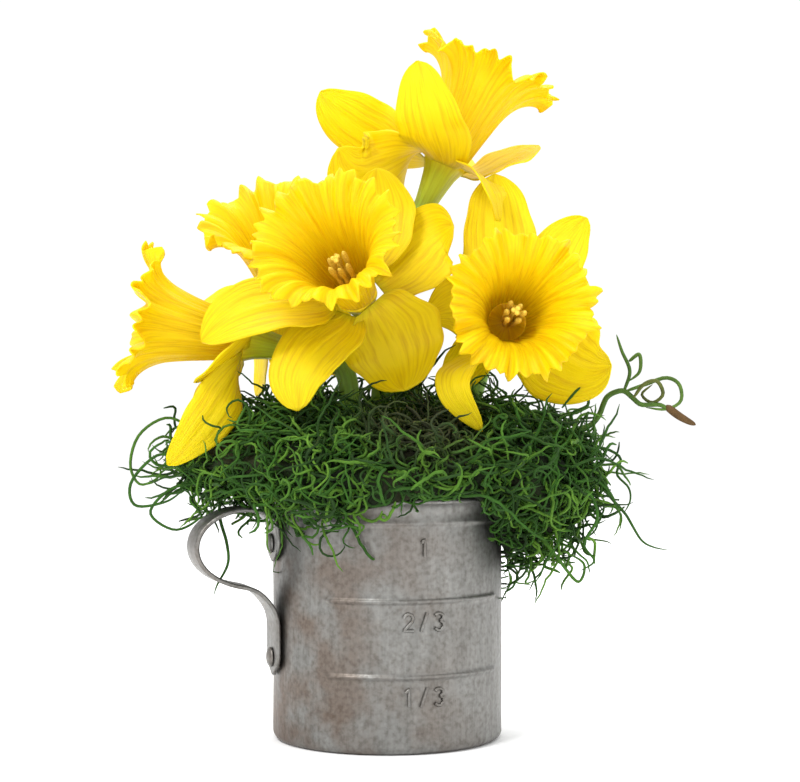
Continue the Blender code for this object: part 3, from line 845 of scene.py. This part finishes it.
def make_trumpet(name, plan, seed):
    """One trumpet as a thin frilled sheet, thickened."""
    rng = random.Random(seed)
    steps = 44
    lobes = [(count, depth, any_turn(rng)) for count, depth in LOBES]
    teeth = [rng.uniform(0.1, 1.0) for _ in range(TEETH)]
    tooth_turns = sorted(rng.uniform(-0.3, 0.3) + i for i in range(TEETH))
    rows = []
    for j, (r_share, h_share, opening) in enumerate(trumpet_law(steps)):
        s = j / steps
        row = []
        for turn in turns(288):
            radius = plan["base"] + (plan["mouth"] - 0.4 * MM - plan["base"]) * r_share
            height = (plan["length"] - 0.2 * MM) * h_share
            grow = max(0.0, (s - 0.45) / 0.55) ** 2.2
            wave = sum(amp * math.sin(n * turn + ph + 0.6 * math.sin(3 * turn + ph)) for n, amp, ph in lobes)
            pleat = 0.22 * math.cos(12 * turn + lobes[0][2]) * min(1, 3 * s) + 0.1 * math.cos(36 * turn)
            place = turn / (2 * math.pi) * TEETH
            gaps = [abs((place - at_tooth + TEETH / 2) % TEETH - TEETH / 2) for at_tooth in tooth_turns]
            near = min(gaps)
            tooth = teeth[gaps.index(near)] * max(0.0, 1 - near * 1.7)
            reach = grow ** 2 * (4.2 * tooth - 1.8) * MM
            lift = (grow * wave * 0.8 + pleat) * MM
            radius += lift * math.cos(opening) + reach * math.sin(opening)
            height += -lift * math.sin(opening) * 0.9 + reach * math.cos(opening)
            row.append(at(plan, radius, turn, height + 0.1 * MM))
        rows.append(row)
    sheet = show(sheet_mesh(f"{name}_corona", rows, closed=True), f"{name}_corona", TRUMPET)
    piece = thicken(sheet, TRUMPET_SKIN)
    return settle(piece, "trumpet", f"{name}_trumpet")


for number, (name, plan) in enumerate(PLANS.items()):
    piece = make_trumpet(name, plan, 40 + number)
print("trumpets, each", len(piece.data.polygons), "faces")


# %% [markdown]
# ## Petals
# The plain petals are thin closed sheets of a few stations.  Walking from the tip to the
# root gives each station's middle, side direction and width.  A fine sheet then follows a
# smooth curve through the middles, with a midrib, a shallow fold on each side of it, and a
# wavy edge.

# %% Make the thirty petals
def petal_frame(node_name, heart):
    """Middles, side vectors and greatest half width of a plain petal, root first."""
    spots, _ = merged(node_name)
    tip = max(spots, key=lambda p: (p - heart).length)
    rings = rings_from(node_name, tip, 2.2 * MM)[::-1]
    middles = [middle(ring) for ring in rings]
    sides = []
    widths = []
    for ring in rings:
        a, b = max(((p, q) for p in ring for q in ring), key=lambda pair: (pair[0] - pair[1]).length)
        side = (a - b).normalized()
        if sides and side.dot(sides[-1]) < 0:
            side = -side
        sides.append(side)
        widths.append((a - b).length / 2)
    sides[-1] = sides[-2]
    sides[0] = (sides[0] + sides[1]).normalized()
    return middles, sides, max(widths)


# Petals that curl round their own length, in degrees.
PETAL_CURLS = {"top_bloom_petal_5": 40, "top_bloom_petal_4": 40}
PETAL_SKIN = 0.42 * MM


def make_petal(node_name, piece_name, plan, seed):
    """One petal with its midrib, folds, wavy edge and little pointed tip."""
    rng = random.Random(seed)
    middles, sides, half_width = petal_frame(node_name, plan["heart"])
    along_steps, across_steps = 40, 24
    line = smooth_chain(middles, along_steps + 1)
    side_line = smooth_chain(sides, along_steps + 1)
    ph = [any_turn(rng) for _ in range(6)]
    cup_depth = rng.uniform(0.05, 0.16)
    wave_depth = rng.uniform(0.5, 1.0) * MM
    rows = []
    for j, point in enumerate(line):
        u = j / along_steps
        along = heading(line, j)
        side = side_line[j] - side_line[j].dot(along) * along
        side.normalize()
        curl = math.radians(PETAL_CURLS.get(node_name, 0) * min(2 * u, 1))
        side = Matrix.Rotation(curl, 3, along) @ side
        normal = side.cross(along)
        if normal.dot(plan["axis"]) < 0:
            normal = -normal
        rise = 0.4 + 0.6 * math.sin(math.pi / 2 * min(u / 0.42, 1))
        fall = max(0.0, 1 - max(0.0, (u - 0.42) / 0.58) ** 2.6) ** 0.62
        half = half_width * 1.2 * max(rise * fall, 0.02 + 0.05 * (1 - u))
        row = []
        for i in range(across_steps + 1):
            v = 2 * i / across_steps - 1
            edge = half * v * (1 + 0.035 * math.sin(9 * u + ph[0]) * abs(v) ** 3
                               + 0.02 * math.sin(23 * u + ph[1]))
            swell = math.sin(math.pi * min(1, u * 1.05)) ** 0.7
            lift = cup_depth * half * v * v * swell
            lift += wave_depth * swell * abs(v) ** 2.2 * math.sin(7.5 * u + (ph[2] if v > 0 else ph[3]))
            lift += 0.35 * wave_depth * abs(v) ** 3 * math.sin(19 * u + (ph[4] if v > 0 else ph[5]))
            midrib = 0.32 * math.exp(-(v / 0.07) ** 2)
            folds = 0.2 * math.exp(-((abs(v) - 0.3) / 0.12) ** 2)
            lift += (midrib - folds) * MM * swell
            lift += 0.09 * MM * math.cos(26 * v) * swell
            row.append(point + side * edge + normal * lift)
        rows.append(row)
    sheet = show(sheet_mesh(piece_name, rows), piece_name, PETAL)
    piece = thicken(sheet, PETAL_SKIN)
    return settle(piece, "petal", node_name)


for number, (name, plan) in enumerate(PLANS.items()):
    for i in range(1, 7):
        piece = make_petal(f"{name}_petal_{i}", f"{name}_tepal_{i}", plan, 100 * number + i)
print("petals, each", len(piece.data.polygons), "faces")


# %% [markdown]
# ## Tubes and stems
# Behind the petals the flower narrows to a tube and swells again at the seed case.  Both
# are turned from the radii of the plain solid, with six soft ribs.  A stem follows the
# middles of its plain solid's rings.

# %% Turn the floral tubes
def ring_profile(node_name, plan):
    """Heights and radii of a turned solid, from front to back."""
    spots, _ = merged(node_name)
    levels = {}
    for p in spots:
        height = (p - plan["heart"]).dot(plan["axis"])
        radius = ((p - plan["heart"]) - height * plan["axis"]).length
        key = round(height * 4000)
        levels.setdefault(key, []).append((radius, height))
    line = [max(group) for _, group in sorted(levels.items(), reverse=True)]
    return [Vector((r, 0, h)) for r, h in line if r > 0.5 * MM]


def make_tube(name, plan):
    """The floral tube and the seed case behind it, softly ribbed."""
    line = smooth_chain(ring_profile(f"{name}_tube", plan), 48)
    line = [Vector((0.05 * MM, 0, line[0].z)), *line, Vector((0.05 * MM, 0, line[-1].z - 0.5 * MM))]
    rows = [[at(plan, point.x * (1 + 0.035 * math.cos(6 * t)), t, point.z) for t in turns(48)]
            for point in line]
    return settle(closed_skin(f"{name}_floral_tube", rows, TUBE), "flower_tube", f"{name}_tube")


for name, plan in PLANS.items():
    make_tube(name, plan)


# %% [markdown]
# Long thin things that follow a path share one Geometry Nodes tree: it gives a curve a
# radius that tapers to its ends, sweeps a round section along it, and sets its finish.

# %% Build the tree that sweeps a tapered section along a path
def geometry_tree(name, inputs):
    """An empty geometry tree with named inputs; gives back the tree and its end nodes."""
    tree = bpy.data.node_groups.new(name, "GeometryNodeTree")
    tree.interface.new_socket("Geometry", in_out="INPUT", socket_type="NodeSocketGeometry")
    ids = {}
    for label, kind in inputs:
        ids[label] = tree.interface.new_socket(label, in_out="INPUT", socket_type=kind).identifier
    tree.interface.new_socket("Geometry", in_out="OUTPUT", socket_type="NodeSocketGeometry")
    return tree, ids, tree.nodes.new("NodeGroupInput"), tree.nodes.new("NodeGroupOutput")


def tapered_sweep(tree, curve, group_in):
    """Nodes that taper a curve, sweep a ring along it and set the material."""
    share = node(tree, "GeometryNodeSplineParameter")
    taper = node(tree, "ShaderNodeFloatCurve", {"Value": share.outputs["Factor"]})
    points = taper.mapping.curves[0].points
    points[0].location = (0, 0.45)
    points[1].location = (1, 0.15)
    points.new(0.15, 0.95)
    points.new(0.7, 0.85)
    taper.mapping.update()
    size = node(tree, "ShaderNodeMath", {0: taper.outputs["Value"], 1: group_in.outputs["Radius"]},
                operation="MULTIPLY")
    tapered = node(tree, "GeometryNodeSetCurveRadius", {"Curve": curve, "Radius": size.outputs["Value"]})
    ring = node(tree, "GeometryNodeCurvePrimitiveCircle",
                {"Radius": 1.0, "Resolution": group_in.outputs["Sides"]})
    sweep = node(tree, "GeometryNodeCurveToMesh", {"Curve": tapered.outputs["Curve"], "Fill Caps": True,
                                                   "Profile Curve": ring.outputs["Curve"]})
    if "Scale" in sweep.inputs:
        wire(tree, node(tree, "GeometryNodeInputRadius").outputs["Radius"], sweep.inputs["Scale"])
    real = node(tree, "GeometryNodeRealizeInstances", {"Geometry": sweep.outputs["Mesh"]})
    paint = node(tree, "GeometryNodeSetMaterial",
                 {"Geometry": real.outputs["Geometry"], "Material": group_in.outputs["Finish"]})
    return paint.outputs["Geometry"]


strand_tree, STRAND_IDS, strand_in, strand_out = geometry_tree(
    "tapered_strand", [("Radius", "NodeSocketFloat"), ("Sides", "NodeSocketInt"),
                       ("Finish", "NodeSocketMaterial")])
wire(strand_tree, tapered_sweep(strand_tree, strand_in.outputs["Geometry"], strand_in),
     strand_out.inputs["Geometry"])


def grow_strands(name, routes, radius, sides, material, tones):
    """Strands along routes, as one piece, with a tone kept on each."""
    item = new_curve(name, routes)
    scene.collection.objects.link(item)
    grow = item.modifiers.new("grow", "NODES")
    grow.node_group = strand_tree
    grow[STRAND_IDS["Radius"]] = radius
    grow[STRAND_IDS["Sides"]] = sides
    grow[STRAND_IDS["Finish"]] = material
    piece = bake(item)
    layer = piece.data.attributes.new("tone", "FLOAT", "POINT")
    counts = [len(route) * sides for route in routes]
    values = [tone for tone, count in zip(tones, counts) for _ in range(count)]
    values += [tones[-1]] * (len(layer.data) - len(values))
    layer.data.foreach_set("value", values[:len(layer.data)])
    return piece


# %% [markdown]
# The stems are fat and even, so they are swept as ribbed sheets and not as tapered strands.

# %% Sweep the five stems
STEM_RADIUS = 3.1 * MM


def sweep_stem(name, plan):
    """A stem through the middles of its plain solid's rings, with fine ribs."""
    neck = plan["heart"] + plan["axis"] * plan["back"]
    rings = rings_from(f"{name}_stem", neck, 6.6 * MM)
    rings = [ring for ring in rings if len(ring) >= 4][::-1]
    line = smooth_chain([middle(ring) for ring in rings], 60)
    side = Vector((1, 0, 0))
    rows = []
    for i, point in enumerate(line):
        along = heading(line, i)
        side = (side - side.dot(along) * along).normalized()
        up = along.cross(side)
        rows.append([point + (STEM_RADIUS * (1 + 0.03 * math.cos(8 * t)))
                     * (math.cos(t) * side + math.sin(t) * up) for t in turns(32)])
    return settle(closed_skin(f"{name}_flower_stem", rows, STEM), "stem", f"{name}_stem")


for name, plan in PLANS.items():
    sweep_stem(name, plan)
print("stems done")


# %% [markdown]
# ## Stamens
# Deep in each trumpet stand six stamens round a longer style.  The threads and the style
# are tapered strands; the anthers are long grains on top of the threads.

# %% Make the stamens and the style of each bloom
def blob(plan, radius, turn, height, half_length, half_width, lean):
    """Rows of a long grain that stands along the bloom's axis."""
    rows = []
    for j in range(9):
        a = -math.pi / 2 + math.pi * j / 8
        h = height + half_length * math.sin(a)
        r = max(half_width * math.cos(a), 0.02 * MM)
        base = at(plan, radius + lean * math.sin(a), turn, h)
        out = math.cos(turn) * plan["side"] + math.sin(turn) * plan["up"]
        round_way = plan["axis"].cross(out)
        rows.append([base + r * (math.cos(t) * out + math.sin(t) * round_way) for t in turns(10)])
    return rows


def make_stamens(name, plan, seed):
    """Six stamens and a style with its three-part head, as one piece."""
    rng = random.Random(seed)
    tall = 18.5 * MM
    routes = []
    grains = []
    for i in range(6):
        turn = i * math.pi / 3 + rng.uniform(-0.15, 0.15)
        top = tall * rng.uniform(0.72, 0.86)
        lean = rng.uniform(2.2, 3.0) * MM
        routes.append([at(plan, (1.6 + 1.0 * t) * MM + (lean - 2.6 * MM) * t, turn, 0.4 * MM + top * t)
                       for t in (0, 0.2, 0.4, 0.6, 0.8, 1.0)])
        grains.append(blob(plan, lean, turn, top + 1.5 * MM, 3.4 * MM, 0.95 * MM, 0.25 * MM))
    routes.append([at(plan, 0.25 * MM * math.sin(3 * t), 1.0, 0.4 * MM + tall * 1.1 * t)
                   for t in (0, 0.25, 0.5, 0.75, 1.0)])
    for i in range(3):
        grains.append(blob(plan, 0.8 * MM, i * 2.094, tall * 1.1, 0.7 * MM, 0.8 * MM, 0))
    threads = grow_strands(f"{name}_threads", routes, 0.75 * MM, 8, POLLEN, [0.5] * 7)
    mesh = threads.data.copy()
    mesh.name = f"{name}_anthers"
    with editing(mesh) as body:
        for number, rows in enumerate(grains):
            body.from_mesh(sheet_mesh(f"grain_{number}", rows, closed=True))
    bpy.data.objects.remove(threads)
    piece = close_ends(show(mesh, f"{name}_anthers", POLLEN))
    return settle(piece, "stamens", f"{name}_stamens")


for number, (name, plan) in enumerate(PLANS.items()):
    make_stamens(name, plan, 70 + number)
print("stamens done")

# %% [markdown]
# ## Moss
# The moss is thousands of curly strands over a dark heart.  The heart is the plain mound,
# roughened.  A few curls are drawn as curves, and a Geometry Nodes tree scatters them over
# the mound, turned to lie along its surface, each with its own turn, size and tone.

# %% Make the dark heart of the moss
def moss_heart():
    """The plain mound, subdivided, roughened and drawn in a little."""
    rng = random.Random(5)
    shifts = [(any_turn(rng), *(rng.uniform(140, 420) for _ in range(3))) for _ in range(7)]
    mesh = frame["nodes"]["moss_mound"].data.copy()
    mesh.name = "moss_heart"
    with editing(mesh) as body:
        bmesh.ops.remove_doubles(body, verts=body.verts, dist=0.000002)
        for _ in range(2):
            bmesh.ops.subdivide_edges(body, edges=body.edges, cuts=1, use_grid_fill=True)
        body.normal_update()
        for vert in body.verts:
            x, y, z = vert.co
            rough = sum(math.sin(a * x + b * y + c * z + p) for p, a, b, c in shifts) / 7
            if z > RIM_TOP + 2 * MM or math.hypot(x, y) > RIM_RADIUS + 2 * MM:
                vert.co = vert.co - vert.normal * (3.4 - 2.4 * rough) * MM
    mesh.shade_smooth()
    tone = mesh.attributes.new("tone", "FLOAT", "POINT")
    tone.data.foreach_set("value", [0.5 + 0.5 * math.sin(180 * v.co.x + 120 * v.co.z) for v in mesh.vertices])
    piece = show(mesh, "moss_heart", HEART)
    return settle(piece, "moss", "moss_mound")


heart_piece = moss_heart()
print("moss heart", len(heart_piece.data.polygons), "faces")


# %% Draw the curls that the tree scatters
def curl_route(rng, length, steps):
    """A wandering curl that lies near the XY plane: its turning changes slowly."""
    step = length / steps
    heading = any_turn(rng)
    turn = rng.choice((-1, 1)) * rng.uniform(0.15, 0.45)
    climb = rng.uniform(-0.2, 0.6)
    spot_at = Vector((0, 0, 0))
    route = [spot_at.copy()]
    for i in range(steps):
        turn += rng.uniform(-0.28, 0.28)
        turn = max(-0.9, min(0.9, turn))
        heading += turn
        climb = max(-0.7, min(0.7, climb + rng.uniform(-0.35, 0.35)))
        jolt = Vector([rng.uniform(-0.2 * step, 0.2 * step) for _ in range(3)])
        level = math.cos(climb)
        ahead = Vector((math.cos(heading) * level, math.sin(heading) * level, math.sin(climb)))
        spot_at += jolt + step * ahead
        route.append(spot_at.copy())
    lift = -min(p.z for p in route) - 0.8 * MM
    return [p + Vector((0, 0, lift)) for p in route]


curl_rng = random.Random(11)
curls = bpy.data.collections.new("curls")
scene.collection.children.link(curls)
CURL_STEPS = 18
CURL_SIDES = 5
for number in range(14):
    route = curl_route(curl_rng, curl_rng.uniform(18, 36) * MM, CURL_STEPS)
    curls.objects.link(new_curve(f"curl_{number}", [route]))

# %% Build the tree that scatters the curls over the mound
scatter, SCATTER_IDS, scatter_in, scatter_out = geometry_tree(
    "scattered_curls", [("Density", "NodeSocketFloat"), ("Radius", "NodeSocketFloat"),
                        ("Sides", "NodeSocketInt"), ("Seed", "NodeSocketInt"),
                        ("Curls", "NodeSocketCollection"), ("Finish", "NodeSocketMaterial")])
given = scatter_in.outputs
dots = node(scatter, "GeometryNodeDistributePointsOnFaces",
            {"Mesh": given["Geometry"], "Density": given["Density"], "Seed": given["Seed"]})
bunch = node(scatter, "GeometryNodeCollectionInfo",
             {"Collection": given["Curls"], "Separate Children": True, "Reset Children": True})
spin = node(scatter, "FunctionNodeRandomValue",
            {"Min": (-0.45, -0.45, 0), "Max": (0.45, 0.45, 6.283), "Seed": given["Seed"]},
            data_type="FLOAT_VECTOR")
lay = node(scatter, "FunctionNodeRotateRotation",
           {"Rotation": dots.outputs["Rotation"], "Rotate By": spin.outputs[0]}, rotation_space="LOCAL")
stretch = node(scatter, "FunctionNodeRandomValue", {2: 0.6, 3: 1.15, "Seed": given["Seed"]},
               data_type="FLOAT")
plant = node(scatter, "GeometryNodeInstanceOnPoints",
             {"Points": dots.outputs["Points"], "Instance": bunch.outputs["Instances"],
              "Pick Instance": True, "Rotation": lay.outputs["Rotation"], "Scale": stretch.outputs[1]})
toning = node(scatter, "FunctionNodeRandomValue", data_type="FLOAT")
keep = node(scatter, "GeometryNodeStoreNamedAttribute",
            {"Geometry": plant.outputs["Instances"], "Name": "tone", "Value": toning.outputs[1]},
            data_type="FLOAT", domain="INSTANCE")
loose = node(scatter, "GeometryNodeRealizeInstances", {"Geometry": keep.outputs["Geometry"]})
wire(scatter, tapered_sweep(scatter, loose.outputs["Geometry"], scatter_in), scatter_out.inputs["Geometry"])


def keep_off_cup(mesh):
    """Move strands that cross the cup's wall to its outside."""
    clear = RIM_RADIUS + 0.5 * MM
    for vert in mesh.vertices:
        x, y, z = vert.co
        reach = math.hypot(x, y)
        if z < RIM_TOP + 0.5 * MM and WALL_RADIUS - 2.5 * MM < reach < clear:
            vert.co = (x / reach * clear, y / reach * clear, z)


def flower_trees():
    """Search trees over the petals and trumpets, for keeping the moss off them."""
    trees = []
    for piece in scene.objects:
        if "_tepal_" in piece.name or "_corona" in piece.name:
            corners = [v.co for v in piece.data.vertices]
            trees.append(BVHTree.FromPolygons(corners, [f.vertices for f in piece.data.polygons]))
    return trees


FLOWER_TREES = flower_trees()
FLOWER_CLEARANCE = 2 * MM
STRAY = 11 * MM                        # how far a curl may reach past the plain model


def out_of_place(point):
    """Whether moss may not be here: before the bare part of the rim, too far out, in a petal."""
    p = TURN.transposed() @ point
    if 9 * MM < p.x < 27 * MM and p.y < 0 and p.z < RIM_TOP - 1 * MM:
        return True
    if any(point[k] < CAD_BOX[0][k] - STRAY or point[k] > CAD_BOX[1][k] + STRAY for k in range(3)):
        return True
    return any(tree.find_nearest(point, FLOWER_CLEARANCE)[0] for tree in FLOWER_TREES)


def comb(mesh):
    """Take out each curl that is out of place anywhere along its length."""
    block = (CURL_STEPS + 1) * CURL_SIDES
    gone = [start for start in range(0, len(mesh.vertices), block)
            if any(out_of_place(mesh.vertices[i].co) for i in range(start, start + block, CURL_SIDES))]
    with editing(mesh) as body:
        doomed = [v for start in gone for v in body.verts[start:start + block]]
        bmesh.ops.delete(body, geom=doomed, context="VERTS")
    return len(gone)


CURL_DENSITY = 50000                   # curls to a square metre in each layer
LAYER_RADII = (0.42 * MM, 0.36 * MM, 0.5 * MM, 0.4 * MM)


def scatter_curls(name, radius, seed):
    """One layer of curls over the mound."""
    source = heart_piece.data.copy()
    with editing(source) as body:
        hidden = [f for f in body.faces if f.calc_center_median().z < RIM_TOP + 1 * MM
                  and math.hypot(*f.calc_center_median().xy) < RIM_RADIUS + 0.8 * MM]
        bmesh.ops.delete(body, geom=hidden, context="FACES")
    item = bpy.data.objects.new(name, source)
    scene.collection.objects.link(item)
    grow = item.modifiers.new("scatter", "NODES")
    grow.node_group = scatter
    grow[SCATTER_IDS["Density"]] = CURL_DENSITY
    grow[SCATTER_IDS["Radius"]] = radius
    grow[SCATTER_IDS["Sides"]] = CURL_SIDES
    grow[SCATTER_IDS["Seed"]] = seed
    grow[SCATTER_IDS["Curls"]] = curls
    grow[SCATTER_IDS["Finish"]] = MOSS
    piece = bake(item)
    print(name, "combed out:", comb(piece.data), "curls")
    keep_off_cup(piece.data)
    return settle(piece, "moss")


for number, radius in enumerate(LAYER_RADII):
    layer_piece = scatter_curls(f"moss_curls_{number + 1}", radius, 31 + number)
    print("moss layer", number + 1, len(layer_piece.data.polygons), "faces")
for item in list(curls.objects):
    bpy.data.objects.remove(item)
bpy.data.collections.remove(curls)


# %% [markdown]
# ## Loose strands
# A curled sprig with a brown bud and a long strand stand out at the right; some loops stand
# out at the left, and one tendril hangs through the handle.  Their routes are drawn in the
# bouquet's frame, in millimetres.

# %% Grow the loose strands
def rod_middle(node_name):
    """The middle line of a plain rod, from the mound outwards."""
    spots, _ = merged(node_name)
    end = max(spots, key=lambda p: p.xy.length)
    rings = rings_from(node_name, end, 2.3 * MM)
    return [middle(ring) for ring in rings if len(ring) >= 4][::-1]


def bouquet_route(points, count):
    """A smooth route through points given in millimetres in the bouquet's frame."""
    return smooth_chain([from_bouquet(*p) for p in points], count)


sprig_line = smooth_chain(rod_middle("moss_sprig"), 60)
sprig_loops = [
    [(71.4, -6, 31), (73, -7, 37), (70.5, -8, 43), (69, -7, 48)],
    [(72, -6, 31), (78, -5, 33), (84, -6, 35), (88, -6, 33), (88.5, -6, 28), (84, -6, 25.5), (78, -6, 26)],
    [(74, -8, 29), (77, -9, 33), (81, -8, 34), (83, -7, 30), (80, -5, 27.5), (77, -4, 30), (80, -6, 33)],
    [(73, -5, 40), (76, -6, 42), (76, -7, 37), (73, -6, 34)]]
sprig = grow_strands("curled_sprig", [sprig_line], 0.85 * MM, 8, SPRIG, [0.35])
settle(sprig, "moss_sprig", "moss_sprig")
loops = [bouquet_route(loop, 24) for loop in sprig_loops]
tendrils = grow_strands("sprig_tendrils", loops, 0.6 * MM, 8, SPRIG, [0.25, 0.45, 0.8, 0.4])
settle(tendrils, "moss_sprig")
bud_line = bouquet_route([(84, -6, 26.5), (87.5, -6, 23.8), (90.5, -6, 22), (93, -6, 20.8)], 16)
settle(grow_strands("sprig_bud", [bud_line], 1.25 * MM, 10, SPRIG, [1.0]), "moss_sprig")

long_line = smooth_chain(rod_middle("moss_strand"), 60)
long_routes = [
    [(44, -10, 16), (56, -9, 13), (64, -8, 14), (70, -8, 11), (69, -8, 6), (72.5, -8, 2), (73, -8, -2),
     (71, -8, -6)],
    [(42, -12, 25), (50, -10, 24), (57, -10, 20), (62, -9, 13), (64.5, -9, 9)],
    [(-58, -12, 20), (-66, -12, 23), (-74, -12, 18), (-77, -10, 9), (-74, -10, 3), (-68, -10, 6),
     (-70, -12, 12)],
    [(-60, -16, 10), (-68, -16, 12), (-76, -15, 4), (-75, -14, -3), (-66, -14, -2), (-60, -14, 2)],
    [(-55, -16, 4), (-64, -18, 2), (-70, -18, -5), (-63, -18, -10), (-56, -16, -7), (-52, -16, -1)],
    [(-48, -12, 4), (-50, -14, -5), (-47.5, -17, -14), (-47, -19, -20), (-50, -20, -26), (-51, -20, -29)],
    [(48, -22, 0), (58, -22, 2), (62, -20, -6), (58, -20, -14), (61, -20, -19), (57, -20, -22)],
    [(44, -22, -10), (50, -24, -18), (56, -22, -25), (58, -20, -20), (52, -22, -16)],
    [(52, -14, 26), (58, -12, 32), (60, -12, 27), (55, -12, 24), (58, -12, 19), (63, -12, 22)]]
routes = [long_line] + [bouquet_route(loop, 30) for loop in long_routes]
tones = [0.5, 0.4, 0.45, 0.75, 0.6, 0.55, 0.45, 0.6, 0.7, 0.5]
strands = grow_strands("loose_strands", routes, 0.5 * MM, 6, MOSS, tones)
settle(strands, "moss", "moss_strand")
print("loose strands", len(strands.data.polygons), "faces")
